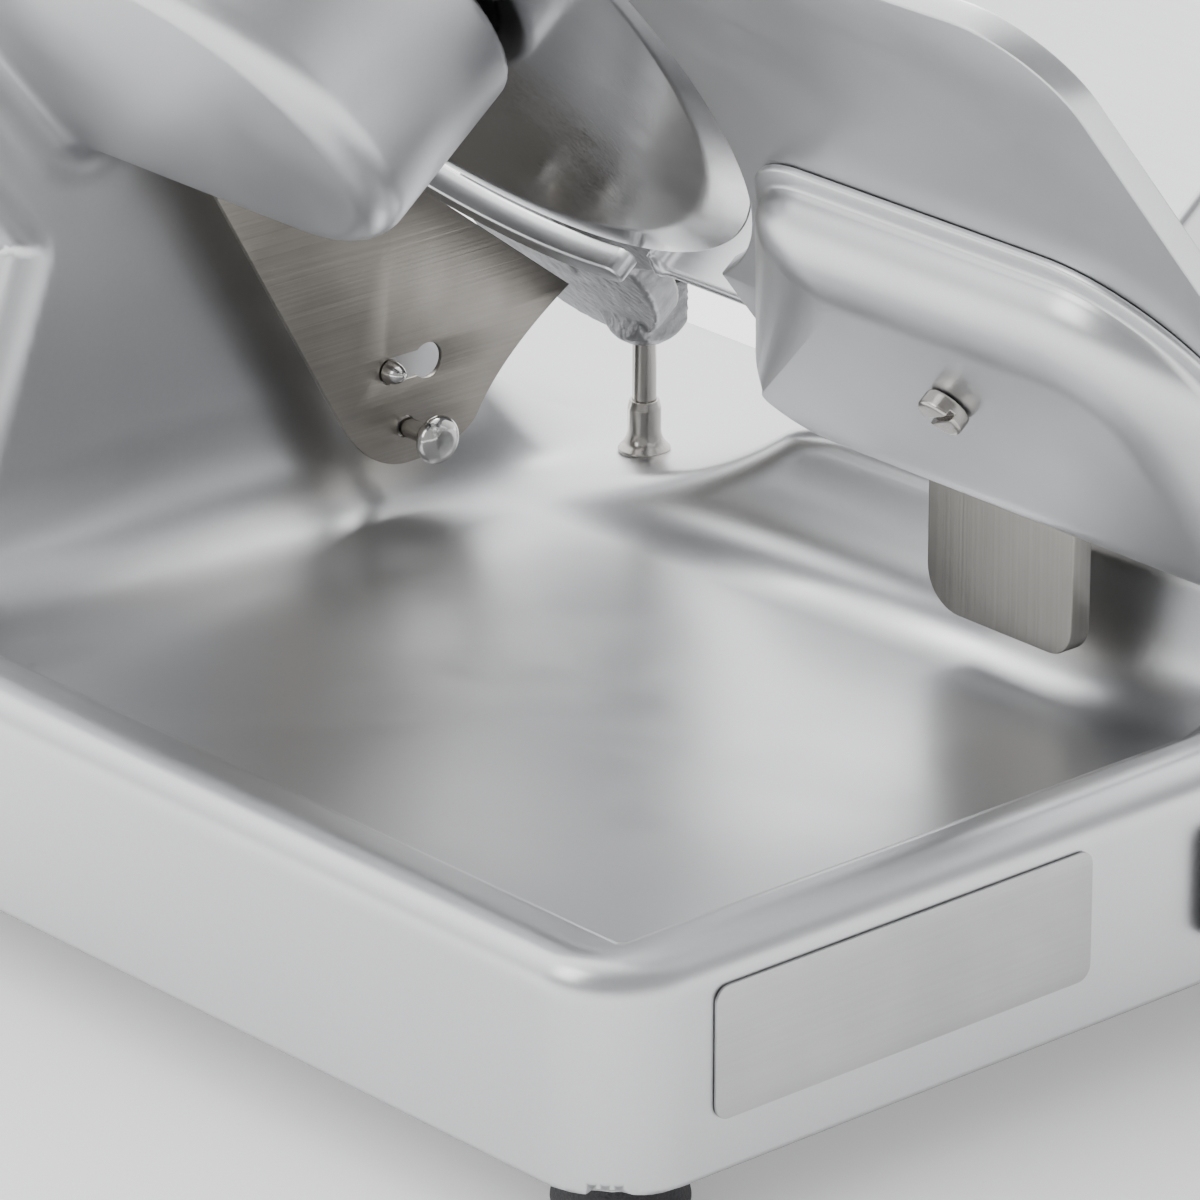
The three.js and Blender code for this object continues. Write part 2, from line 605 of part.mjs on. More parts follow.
// ---- Knife guard, cover and its lock ------------------------------------------------------------
function knifeGuard() {
  const inner = KNIFE_RADIUS + KNIFE_GAP;
  const low = THREE.MathUtils.degToRad(-98);
  const high = THREE.MathUtils.degToRad(38);
  const shape = new THREE.Shape();
  shape.absarc(0, 0, inner + GUARD_WIDTH, low, high, false);
  shape.absarc(0, 0, inner, high, low, true);
  shape.closePath();
  return slab(shape, COLUMN_FACE + FIT, COLUMN_FACE + FIT + GUARD_DEPTH, 0, 22);
}

add(spindle, 'knife_guard', knifeGuard(), satinAluminium);

const LOCK = new THREE.Vector2(KNIFE_RADIUS + 37, 34); // cover's lock post, from the knife's centre
const LOCK_EAR = 15;
const COVER_BACK = KNIFE_FACE + 1;
function knifeCover() {
  const plateDisc = turned([[0, COVER_BACK], [COVER_RADIUS, COVER_BACK],
    [COVER_RADIUS - 3, COVER_BACK + COVER_THICK],
    [0, COVER_BACK + COVER_THICK]], 48);
  const ear = outline([[60, LOCK.y + LOCK_EAR, 4], [60, LOCK.y - LOCK_EAR, 4],
    [LOCK.x + LOCK_EAR, LOCK.y - LOCK_EAR, 12], [LOCK.x + LOCK_EAR, LOCK.y + LOCK_EAR, 12]]);
  const hole = rod(5, 0, 40, 16, 0).translate(LOCK.x, LOCK.y, 0);
  const foot = rod(8, COLUMN_FACE + FIT, COVER_BACK + 1, 18, 0).translate(LOCK.x, LOCK.y, 0);
  return cut(join(plateDisc, slab(ear, COVER_BACK, COVER_BACK + COVER_THICK - 0.2), foot), hole);
}

add(spindle, 'knife_cover', knifeCover(), satinAluminium);

function lobedKnob(radius, lobes, z0, z1) {
  const shape = new THREE.Shape();
  const steps = lobes * 4;
  for (let i = 0; i < steps; i += 1) {
    const angle = (2 * Math.PI * i) / steps;
    const reach = radius * (0.93 + 0.07 * Math.cos(lobes * angle));
    shape[i === 0 ? 'moveTo' : 'lineTo'](reach * Math.cos(angle), reach * Math.sin(angle));
  }
  shape.closePath();
  return slab(shape, z0, z1, 1.5, 2);
}

const lockTop = COVER_BACK + COVER_THICK + FIT;
const lockKnob = join(lobedKnob(14, 6, lockTop, lockTop + 16), rod(4.6, COVER_BACK, lockTop + 4, 16));
add(spindle, 'cover_knob', lockKnob.translate(LOCK.x, LOCK.y, 0), blackPlastic);

// ---- Slice deflector ----------------------------------------------------------------------------
/** Sheet's outline in the front view, measured from the line where the knife plane meets the deck. */
function deflectorOutline() {
  const shape = new THREE.Shape();
  const foot = KNIFE_PLANE_X;
  const top = KNIFE_RISE - 132; // under the knife arm
  const leftHigh = top - 25;
  shape.moveTo(foot - 102 - (leftHigh - 35.5) * 0.56, leftHigh);
  shape.lineTo(foot - 102, 35.5);
  shape.quadraticCurveTo(foot - 91, 17, foot - 75, 16.3);
  shape.quadraticCurveTo(foot - 54, 16, foot - 45.5, 25);
  shape.quadraticCurveTo(foot - 35, 43, foot - 5, 61);
  shape.lineTo(foot - 79, 117);
  shape.lineTo(foot - 102, 127);
  shape.lineTo(foot - 140, top);
  shape.closePath();
  return shape;
}

function deflector() {
  const sheet = frontSlab(deflectorOutline(), SHEET_Y - SHEET_THICK, SHEET_Y, 0, 7);
  const through = (radius, x, z) => facingFront(rod(radius, -20, 20, 16, 0), x, SHEET_Y, z);
  const neck = box(PIN_X, PIN_X + KEYHOLE_RUN, SHEET_Y - 20, SHEET_Y + 20, PIN_Z - PIN_RADIUS - 0.4,
    PIN_Z + PIN_RADIUS + 0.4);
  return cut(sheet, through(PIN_RADIUS + 0.4, PIN_X, PIN_Z), neck,
    through(PIN_RADIUS + 2, PIN_X + KEYHOLE_RUN, PIN_Z),
    through(MUSHROOM_STEM + 0.5, MUSHROOM_X, MUSHROOM_Z));
}

add(slicer, 'slice_deflector', deflector(), brushedSteel);
const pinReach = -SHEET_Y + SHEET_THICK + 7;
const pinProfile = [[0, FIT], [PIN_RADIUS, FIT], [PIN_RADIUS, pinReach - 5],
  [PIN_RADIUS - 1.2, pinReach - 1.6], [0, pinReach]];
add(slicer, 'locating_pin', facingFront(turned(pinProfile, 16), PIN_X, 0, PIN_Z), polishedSteel);

const HEAD_START = -SHEET_Y + SHEET_THICK + 13;
const mushroomProfile = [[0, FIT], [MUSHROOM_STEM, FIT], [MUSHROOM_STEM, HEAD_START],
  [MUSHROOM_HEAD - 1.5, HEAD_START],
  [MUSHROOM_HEAD, HEAD_START + 1.8], [MUSHROOM_HEAD - 0.5, HEAD_START + 4.5],
  [MUSHROOM_HEAD - 4, HEAD_START + 6.6], [0, HEAD_START + 7.2]];
add(slicer, 'deflector_knob', facingFront(turned(mushroomProfile, 18), MUSHROOM_X, 0, MUSHROOM_Z),
  polishedSteel);

// ---- Gauge plate --------------------------------------------------------------------------------
const GAUGE_FACE = KNIFE_FACE + 0.4;
const GAUGE_REAR = GAUGE_FACE - GAUGE_THICK;

/** Outline that follows the knife's edge at the given gap on its back side. */
function besideKnife(front, back, low, high, gap, corner, frontCorner) {
  const radius = KNIFE_RADIUS + gap;
  const reach = KNIFE_ALONG - back;
  const lowAngle = Math.atan2(-Math.sqrt(radius ** 2 - reach ** 2), -reach);
  const highAngle = Math.asin(Math.min(1, (high - KNIFE_RISE) / radius));
  const shape = new THREE.Shape();
  shape.moveTo(back, low + corner);
  shape.absarc(KNIFE_ALONG, KNIFE_RISE, radius, lowAngle, Math.PI - highAngle, true);
  shape.lineTo(front + frontCorner, high);
  shape.absarc(front + frontCorner, high - frontCorner, frontCorner, Math.PI / 2, Math.PI, false);
  shape.absarc(front + frontCorner, low + frontCorner, frontCorner, Math.PI, 1.5 * Math.PI, false);
  shape.absarc(back - corner, low + corner, corner, -Math.PI / 2, 0, false);
  shape.closePath();
  return shape;
}

const gaugeShape = besideKnife(GAUGE_FRONT, GAUGE_BACK, GAUGE_LOW, GAUGE_HIGH, KNIFE_GAP + 1, 10, 32);
add(tilted, 'gauge_plate', slab(gaugeShape, GAUGE_REAR, GAUGE_FACE, 0, 8), satinAluminium);

/** Outline of the hull, drawn inwards by the inset; the flange draws its front and top outwards. */
function hullOutline(inset, flange = 0) {
  const front = HULL_FRONT + inset - flange;
  const high = HULL_HIGH - inset + flange;
  const low = HULL_LOW + inset;
  return outline([[front, low, HULL_NOSE - inset + flange], [HULL_BACK - inset, low, HULL_CORNER - inset],
    [HULL_TOP_BACK - inset, high, HULL_CORNER - inset], [front, high, HULL_NOSE - inset + flange]]);
}

function gaugeHull() {
  const rim = GAUGE_REAR - FIT;
  const past = rim + HULL_DEPTH + 4;
  const shell = slab(hullOutline(0), rim - HULL_DEPTH, past, HULL_ROUND, 6, HULL_DEPTH);
  const inside = slab(hullOutline(HULL_WALL), rim - HULL_DEPTH + HULL_WALL, past,
    HULL_ROUND - HULL_WALL, 6,
    HULL_DEPTH - HULL_WALL);
  const beyond = box(-700, 200, 0, 600, rim, rim + 90);
  const skirt = slab(hullOutline(0, HULL_FLANGE), rim - HULL_FLANGE_THICK, rim + 3, 0, 8);
  return cut(join(shell, skirt), inside, beyond);
}

add(tilted, 'gauge_hull', gaugeHull(), satinAluminium);

function slottedScrew() {
  const seat = GAUGE_REAR - FIT - HULL_DEPTH - FIT;
  const top = seat - 6;
  const slot = box(-2 * SCREW_RADIUS, 2 * SCREW_RADIUS, -1, 1, top - 2, top + 2);
  const screw = cut(rod(SCREW_RADIUS, top, seat, 18, 0.8), slot);
  return screw.translate(HULL_FRONT + SCREW_BACK, HULL_LOW + SCREW_UP, 0);
}

add(tilted, 'hull_screw', slottedScrew(), polishedSteel);

const BEAM_LOW = PEDESTAL_HEIGHT + GAUGE_TRAVEL * OUTWARD.z + 3;
const BEAM_HIGH = BEAM_LOW + 17;
function gaugeBracket() {
  const seat = GAUGE_REAR - FIT;
  const seatTop = frontPoint(GAUGE_LOW + 11, seat);
  const seatBack = frontPoint(GAUGE_LOW + 11, seat - 9);
  const beamEnd = LEG_X + LEG_THICK / 2;
  const seatLow = KNIFE_PLANE_X + seat / Math.cos(KNIFE_LEAN) - BEAM_HIGH * Math.tan(KNIFE_LEAN);
  const profile = outline([[beamEnd, BEAM_LOW], [beamEnd, BEAM_HIGH], [seatLow, BEAM_HIGH], seatTop,
    seatBack,
    [seatLow - 4, BEAM_HIGH - 3], [seatLow + 24, BEAM_LOW]]);
  const beam = frontSlab(profile, BRACKET_Y - BRACKET_WIDTH / 2, BRACKET_Y + BRACKET_WIDTH / 2);
  const leg = box(LEG_X - LEG_THICK / 2, LEG_X + LEG_THICK / 2, BRACKET_Y - LEG_WIDTH / 2,
    BRACKET_Y + LEG_WIDTH / 2,
    LEG_LOW, BEAM_LOW + 2);
  return cut(join(beam, leg), guideRod(GUIDE_RADIUS + FIT, 0));
}

function guideRod(radius, collar) {
  const legReach = LEG_THICK / 2 / OUTWARD.x + GUIDE_COLLAR * Math.tan(KNIFE_LEAN) + 1;
  const low = -GAUGE_TRAVEL - legReach;
  const bar = rod(radius, low - 4, legReach + 4);
  const ends = [low - 4, legReach].map((z) => rod(collar, z, z + 4));
  const whole = collar > 0 ? join(bar, ...ends) : bar;
  const place = new THREE.Matrix4().makeBasis(AXIS_Y, UP_SLOPE, OUTWARD).setPosition(LEG_X, BRACKET_Y,
    GUIDE_Z);
  return whole.applyMatrix4(place);
}

add(slicer, 'gauge_bracket', gaugeBracket(), roughCasting);
add(slicer, 'gauge_guide_rod', guideRod(GUIDE_RADIUS, GUIDE_COLLAR), polishedSteel);

function slotShield() {
  const shape = outline([[BRACKET_Y - SHIELD_WIDTH / 2, BEAM_LOW - FIT],
    [BRACKET_Y + SHIELD_WIDTH / 2, BEAM_LOW - FIT],
    [BRACKET_Y + SHIELD_WIDTH / 2, SHIELD_LOW, 14], [BRACKET_Y - SHIELD_WIDTH / 2, SHIELD_LOW, 10]]);
  return slab(shape, SHIELD_X, SHIELD_X + SHIELD_THICK, 0, 5).applyMatrix4(sideFrame);
}

add(slicer, 'slot_shield', slotShield(), brushedSteel);

// ---- Index knob ---------------------------------------------------------------------------------
const index = new THREE.Group();
index.position.set(KNOB_X, BASE_FRONT, KNOB_Z);
index.rotation.x = Math.PI / 2; // local z runs towards the operator
slicer.add(index);

add(index, 'index_dial', ring(INDEX_SHAFT_RADIUS + 2, KNOB_RADIUS + 7, FIT, 3, 36), brushedSteel);
const knobBody = cut(lobedKnob(KNOB_RADIUS, 9, 3.6, KNOB_DEPTH),
  rod(INDEX_SHAFT_RADIUS + FIT, 0, KNOB_DEPTH - 6, 16, 0));
add(index, 'index_knob', knobBody, blackPlastic);
const camBack = BASE_FRONT - (BRACKET_Y + LEG_WIDTH / 2);
add(index, 'index_shaft', rod(INDEX_SHAFT_RADIUS, camBack - 4, KNOB_DEPTH - 7, 16), polishedSteel);

/** Spiral cam: its radius grows with the turn as fast as the bracket's leg moves to the left. */
function indexCam() {
  const rise = GAUGE_TRAVEL * OUTWARD.x;
  const steps = 40;
  const shape = new THREE.Shape();
  for (let i = 0; i <= steps; i += 1) {
    const turn = (INDEX_TURN * i) / steps;
    const radius = CAM_LOW + (rise * i) / steps;
    const angle = Math.PI - turn;
    shape[i === 0 ? 'moveTo' : 'lineTo'](radius * Math.cos(angle), radius * Math.sin(angle));
  }
  shape.absarc(0, 0, CAM_LOW, Math.PI - INDEX_TURN, -Math.PI, true);
  const camPlate = slab(shape, camBack, camBack + LEG_WIDTH, 0, 5);
  return cut(camPlate, rod(INDEX_SHAFT_RADIUS + FIT, camBack - 20, camBack + 60, 16, 0));
}

add(index, 'index_cam', indexCam(), darkSteel);

// ---- Carriage -----------------------------------------------------------------------------------
const RAIL_FRONT = BASE_FRONT + 8;
const RAIL_BACK = DECK_BEHIND - 10;
const along = (geometry, x, y, z) => geometry.rotateX(-Math.PI / 2).translate(x, y, z);
const rail = along(rod(RAIL_RADIUS, RAIL_FRONT, RAIL_BACK, 18), RAIL_X, 0, RAIL_Z);
add(slicer, 'carriage_rail', rail, polishedSteel);

function railBracket(y0, y1) {
  const side = BASE_RIGHT + FIT;
  const shape = outline([[side, RAIL_Z - 16, 3], [RAIL_X + 16, RAIL_Z - 16, 15],
    [RAIL_X + 16, RAIL_Z + 16, 15],
    [side, RAIL_Z + 16, 3]]);
  const bore = along(rod(RAIL_RADIUS + FIT, -20, 60, 18, 0), RAIL_X, y0, RAIL_Z);
  return cut(frontSlab(shape, y0, y1, 0, 5), bore);
}

add(slicer, 'rail_bracket_front', railBracket(RAIL_FRONT + 3, RAIL_FRONT + 19), satinAluminium);
add(slicer, 'rail_bracket_back', railBracket(RAIL_BACK - 19, RAIL_BACK - 3), satinAluminium);

const BLOCK_BACK = BLOCK_FRONT + BLOCK_LENGTH;
function carriageBlock() {
  const blockLeft = BASE_RIGHT + 1.5;
  const body = frontSlab(rectangle(blockLeft, RAIL_X + BLOCK_HALF + 2, RAIL_Z - BLOCK_HALF,
    RAIL_Z + BLOCK_HALF, 6),
    BLOCK_FRONT, BLOCK_BACK, 0, 4);
  const inside = ARM_WIDTH / 2 + 0.5;
  const cheekShape = outline([[RAIL_X - PIVOT_EYE, RAIL_Z], [RAIL_X + PIVOT_EYE, RAIL_Z],
    [RAIL_X + PIVOT_EYE, PIVOT_Z + PIVOT_EYE, PIVOT_EYE - 1],
    [RAIL_X - PIVOT_EYE, PIVOT_Z + PIVOT_EYE, PIVOT_EYE - 1]]);
  const cheeks = [ARM_Y - inside - CHEEK, ARM_Y + inside].map((y) => frontSlab(cheekShape, y, y + CHEEK,
    0, 6));
  const bore = along(rod(RAIL_RADIUS + FIT, -200, 200, 18, 0), RAIL_X, ARM_Y, RAIL_Z);
  const pivotBore = along(rod(PIVOT_RADIUS + FIT, -60, 60, 16, 0), RAIL_X, ARM_Y, PIVOT_Z);
  return cut(join(body, ...cheeks), bore, pivotBore);
}

add(slicer, 'carriage_block', carriageBlock(), satinAluminium);
const pinHalf = ARM_WIDTH / 2 + CHEEK;
add(slicer, 'tilt_pin', along(rod(PIVOT_RADIUS, -pinHalf - 8, pinHalf + 1, 16), RAIL_X, ARM_Y, PIVOT_Z),
  polishedSteel);
const tiltFront = ARM_Y - pinHalf - 1;
const tiltKnob = cut(lobedKnob(18, 7, 0, 16), rod(PIVOT_RADIUS + FIT, -2, 8.5, 16, 0));
add(slicer, 'tilt_knob', facingFront(tiltKnob, RAIL_X, tiltFront, PIVOT_Z), blackPlastic);

/** Arm that tilts about the pivot pin and ends in a pad under the product tray. */
function trayArm() {
  const eye = along(rod(PIVOT_EYE - 0.5, -ARM_WIDTH / 2, ARM_WIDTH / 2, 22, 0), RAIL_X, ARM_Y, PIVOT_Z);
  const padTop = TRAY_FLOOR - TRAY_SHEET - FIT;
  const padNear = frontPoint(padTop - 7, 120);
  const padFar = frontPoint(padTop - 7, 165);
  const bend = PIVOT_Z + 48; // the strut stands clear of the pedestal before it leans over
  const shape = outline([[RAIL_X - 10, PIVOT_Z - 6], [RAIL_X + 12, PIVOT_Z], [RAIL_X + 12, bend, 20],
    padFar, padNear,
    [RAIL_X - 10, bend - 8, 20]]);
  const strut = frontSlab(shape, ARM_Y - ARM_WIDTH / 2, ARM_Y + ARM_WIDTH / 2, 0, 3);
  const pad = box(ARM_Y - 45, ARM_Y + 45, padTop - 8, padTop, 85, 200).applyMatrix4(knifeFrame);
  const bore = along(rod(PIVOT_RADIUS + FIT, -60, 60, 16, 0), RAIL_X, ARM_Y, PIVOT_Z);
  return cut(join(eye, strut, pad), bore);
}

add(slicer, 'tray_arm', trayArm(), satinAluminium);

function productTray() {
  const near = TRAY_STANDOFF;
  const far = near + TRAY_LENGTH;
  const floor = box(TRAY_FRONT, TRAY_BACK, TRAY_FLOOR - TRAY_SHEET, TRAY_FLOOR, near, far);
  const lip = box(TRAY_BACK - TRAY_SHEET, TRAY_BACK, TRAY_FLOOR - 2, TRAY_FLOOR + TRAY_LIP, near, far);
  const wallShape = outline([[TRAY_FLOOR - TRAY_SHEET, near], [TRAY_WALL_HIGH, near, 12],
    [TRAY_WALL_HIGH, far - 60, 50],
    [TRAY_FLOOR - TRAY_SHEET, far]]);
  const toWall = new THREE.Matrix4().makeBasis(AXIS_Y, AXIS_Z, AXIS_X).setPosition(TRAY_FRONT, 0, 0);
  return join(floor, lip, slab(wallShape, 0, TRAY_SHEET, 0, 6).applyMatrix4(toWall));
}

add(tilted, 'product_tray', productTray(), satinAluminium);

/** Turned grip that stands out of the tray's front wall, towards the operator. */
function trayHandle() {
  const profile = [[0, 0], [8, 0], [8, 12], [13, 20], [15, 45], [14, 85], [9, 95], [0, 97]];
  const [x, z] = frontPoint(TRAY_FLOOR + 44, TRAY_STANDOFF + TRAY_LENGTH / 2 + 7.5);
  return facingFront(turned(profile, 18), x, TRAY_FRONT - FIT, z);
}

add(slicer, 'tray_handle', trayHandle(), blackPlastic);

// ---- Product pusher (in the knife frame) --------------------------------------------------------
const ROD_NEAR = TRAY_STANDOFF + 3;
const ROD_FAR = TRAY_STANDOFF + TRAY_LENGTH - 2;
const pusherRod = rod(PUSHER_ROD_RADIUS, ROD_NEAR, ROD_FAR, 18).translate(PUSHER_ROD_Y, PUSHER_ROD_RISE,
  0);
add(tilted, 'pusher_rod', pusherRod, polishedSteel);

function rodHolder(z0, z1) {
  const shape = outline([[TRAY_BACK + FIT, PUSHER_ROD_RISE - 13, 2],
    [PUSHER_ROD_Y + 13, PUSHER_ROD_RISE - 13, 12],
    [PUSHER_ROD_Y + 13, PUSHER_ROD_RISE + 13, 12], [TRAY_BACK + FIT, PUSHER_ROD_RISE + 9, 2]]);
  const bore = rod(PUSHER_ROD_RADIUS + FIT, z0 - 9, z1 + 9, 18, 0).translate(PUSHER_ROD_Y,
    PUSHER_ROD_RISE, 0);
  return cut(slab(shape, z0, z1, 0, 5), bore);
}

add(tilted, 'rod_holder_near', rodHolder(ROD_NEAR + 2, PUSHER_START - 1), satinAluminium);
add(tilted, 'rod_holder_far', rodHolder(ROD_FAR - 14, ROD_FAR - 2), satinAluminium);

/** Hub on the slide rod with the arm that carries the grip plate. */
function pusherArm() {
  const end = PUSHER_START + PUSHER_HUB_LENGTH;
  const hub = rod(16, PUSHER_START, end, 22, 1.5).translate(PUSHER_ROD_Y, PUSHER_ROD_RISE, 0);
  const shape = outline([[PUSHER_ROD_Y - 6, PUSHER_ROD_RISE - 12],
    [PUSHER_ROD_Y + 8, PUSHER_ROD_RISE + 13],
    [GRIP_Y + 22, GRIP_RISE + 2, 12], [GRIP_Y + 8, GRIP_RISE - 20, 12]]);
  const reach = slab(shape, ARM_PLANE, ARM_PLANE + ARM_THICK, 0, 4);
  const bore = rod(PUSHER_ROD_RADIUS + FIT, 0, 200, 18, 0).translate(PUSHER_ROD_Y, PUSHER_ROD_RISE, 0);
  return cut(join(hub, reach), bore);
}

add(tilted, 'pusher_arm', pusherArm(), satinAluminium);

/** Round cast plate with pointed teeth towards the knife. */
function gripPlate() {
  const disc = rod(GRIP_RADIUS, 0, GRIP_THICK, 32, 1.5);
  const teeth = [];
  const pitch = 16;
  for (let row = -2; row <= 2; row += 1) {
    for (let place = -2; place <= 2; place += 1) {
      if (Math.hypot(row, place) > 2.3) continue;
      const tooth = new THREE.ConeGeometry(5.5, TOOTH + 1, 4).rotateX(-Math.PI / 2);
      teeth.push(tooth.translate(place * pitch, row * pitch, 1 - (TOOTH + 1) / 2));
    }
  }
  return join(disc, ...teeth).translate(GRIP_Y, GRIP_RISE, GRIP_NEAR);
}

add(tilted, 'pusher_grip', gripPlate(), roughCasting);

/** Rough casting under the product tray: a round plate with the plunger's lobed boss on its lower edge. */
function latchBracket() {
  const seat = TRAY_FLOOR - TRAY_SHEET - FIT;
  const far = LATCH_NEAR + LATCH_THICK;
  const disc = rod(LATCH_RADIUS, LATCH_NEAR, far, 32, 1.5).translate(LATCH_Y, LATCH_RISE, 0);
  const web = outline([[TRAY_BACK - 40, seat], [TRAY_BACK - 40, seat - 14, 6],
    [LATCH_Y - 38, LATCH_RISE + 8], [LATCH_Y - 10, LATCH_RISE + 36], [TRAY_BACK + 14, seat, 6]]);
  const plate = join(disc, slab(web, LATCH_NEAR, far, 0, 3)).applyMatrix4(knifeFrame);
  const lobe = turned([[0, BOSS_LOW], [PULL_ROD_RADIUS + 4, BOSS_LOW + 1.5], [BOSS_RADIUS - 2, BOSS_LOW + 6],
    [BOSS_RADIUS, BOSS_LOW + 12], [BOSS_RADIUS, BOSS_HIGH], [0, BOSS_HIGH]], 4);
  lobe.rotateZ(BOSS_TURN);
  const socket = rod(PULL_ROD_RADIUS + FIT, BOSS_LOW - 9, BOSS_LOW + 12 + PULL_TRAVEL, 16, 0);
  return cut(join(plate, lobe.translate(BOSS_X, BOSS_Y, 0)), socket.translate(BOSS_X, BOSS_Y, 0));
}

add(slicer, 'latch_bracket', latchBracket(), roughCasting);

function pullRod() {
  return rod(PULL_ROD_RADIUS, DECK_CLEAR + 3, BOSS_LOW + 10, 16).translate(BOSS_X, BOSS_Y, 0);
}

add(slicer, 'pull_rod', pullRod(), polishedSteel);

function pullSleeve() {
  const inner = PULL_ROD_RADIUS + FIT;
  const low = DECK_CLEAR;
  return turned([[inner, low + 2], [PULL_FLARE_RADIUS - 1.6, low], [PULL_FLARE_RADIUS, low + 0.8],
    [PULL_SLEEVE_RADIUS, low + 4.6],
    [PULL_SLEEVE_RADIUS, low + 15], [PULL_ROD_RADIUS + 0.9, low + 18], [inner, low + 18],
    [inner, low + 2]], 22)
    .translate(BOSS_X, BOSS_Y, 0);
}

add(slicer, 'pull_sleeve', pullSleeve(), polishedSteel);

const pusherKnob = turned([[0, 0], [6, 0], [6, 8], [14, 16], [17, 28], [13, 39], [0, 43]], 18);
add(tilted, 'pusher_knob', pusherKnob.translate(PUSHER_ROD_Y + 50, PUSHER_ROD_RISE - 37,
  ARM_PLANE + ARM_THICK + FIT), blackPlastic);

// ---- Sharpener (in the knife frame) -------------------------------------------------------------
const LEG_BACK = -32;
const NEAR_LEG = [LEG_BACK, LEG_BACK + 14];
const FAR_LEG = [KNIFE_FACE + 16, KNIFE_FACE + 30];
const ROOF_LOW = STONE_RISE + STONE_RADIUS + 4;
const ROOF_HIGH = ROOF_LOW + 26;
const sharpenerFrame = new THREE.Matrix4().makeBasis(AXIS_Y, AXIS_Z, AXIS_X);

function sharpenerBody() {
  const y0 = SHARPENER_Y - SHARPENER_WIDTH / 2;
  const y1 = SHARPENER_Y + SHARPENER_WIDTH / 2;
  const legLow = STONE_RISE - 12;
  const shape = outline([[legLow, NEAR_LEG[0], 4], [ROOF_HIGH, NEAR_LEG[0], 14],
    [ROOF_HIGH, FAR_LEG[1], 14], [legLow, FAR_LEG[1], 4],
    [legLow, FAR_LEG[0], 2], [ROOF_LOW, FAR_LEG[0], 2], [ROOF_LOW, NEAR_LEG[1], 2],
    [legLow, NEAR_LEG[1], 2]]);
  const hood = slab(shape, y0, y1, 0, 4).applyMatrix4(sharpenerFrame);
  const mount = box(y1 - 4, COLUMN_THICK - 50, COLUMN_TOP + FIT, STONE_RISE + 16, NEAR_LEG[0],
    NEAR_LEG[1]);
  const rodHole = rod(PRESS_ROD_RADIUS + FIT, -90, 90, 16, 0).translate(SHARPENER_Y, STONE_RISE, 0);
  return cut(join(hood, mount), rodHole);
}

add(tilted, 'sharpener_body', sharpenerBody(), satinAluminium);

/** Push rod with its outer button; the stone's end carries a short spigot. */
function pressRod(inner, outer) {
  const way = Math.sign(outer - inner);
  const low = Math.min(inner, outer);
  const high = Math.max(inner, outer);
  const bar = rod(PRESS_ROD_RADIUS, low, high, 16);
  const button = way < 0 ? rod(10, low - 9, low + 1, 18, 1.5) : rod(10, high - 1, high + 9, 18, 1.5);
  const spigotEnd = inner - way * (STONE_THICK + 1);
  const spigot = rod(3, Math.min(inner, spigotEnd) - (way < 0 ? 0.5 : 0),
    Math.max(inner, spigotEnd) + (way > 0 ? 0.5 : 0), 16);
  return join(bar, button, spigot).translate(SHARPENER_Y, STONE_RISE, 0);
}

const GRIND_GAP = 8;
const TRUE_GAP = 4;
const grindFace = KNIFE_BACK - GRIND_GAP;
const grindInner = grindFace - STONE_THICK - 0.5;
add(tilted, 'grinding_rod', pressRod(grindInner, LEG_BACK - GRIND_GAP - 3), polishedSteel);
const grindStone = ring(3 + FIT, STONE_RADIUS, grindFace - STONE_THICK, grindFace, 22);
add(tilted, 'grinding_stone', grindStone.translate(SHARPENER_Y, STONE_RISE, 0), stoneGrit);

const trueFace = KNIFE_FACE + TRUE_GAP;
const trueInner = trueFace + STONE_THICK + 0.5;
add(tilted, 'truing_rod', pressRod(trueInner, FAR_LEG[1] + TRUE_GAP + 3), polishedSteel);
const trueStone = ring(3 + FIT, STONE_RADIUS, trueFace, trueFace + STONE_THICK, 22);
add(tilted, 'truing_stone', trueStone.translate(SHARPENER_Y, STONE_RISE, 0), stoneGrit);

// ---- Origin: bottom centre of the whole machine -------------------------------------------------
slicer.updateMatrixWorld(true);
const bounds = new THREE.Box3().setFromObject(slicer, true);
const middle = bounds.getCenter(new THREE.Vector3());
slicer.position.set(-middle.x, -middle.y, -bounds.min.z);

export default slicer;
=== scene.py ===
"""Looks of a countertop deli meat slicer: a leaning round knife over a one-piece cast base.

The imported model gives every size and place.  Inside this file shapes are worked out in millimetres in the
work frame, whose origin is the back left corner of the flat receiving tray: +X is the operator's right, +Y
away from the operator, +Z up.  Each finished mesh is written in metres in the model's own frame.
"""

import json
import logging
import math
from dataclasses import dataclass
from enum import Enum
from typing import Callable, Sequence

import bmesh
import bpy
import numpy as np
from mathutils import Matrix, Vector

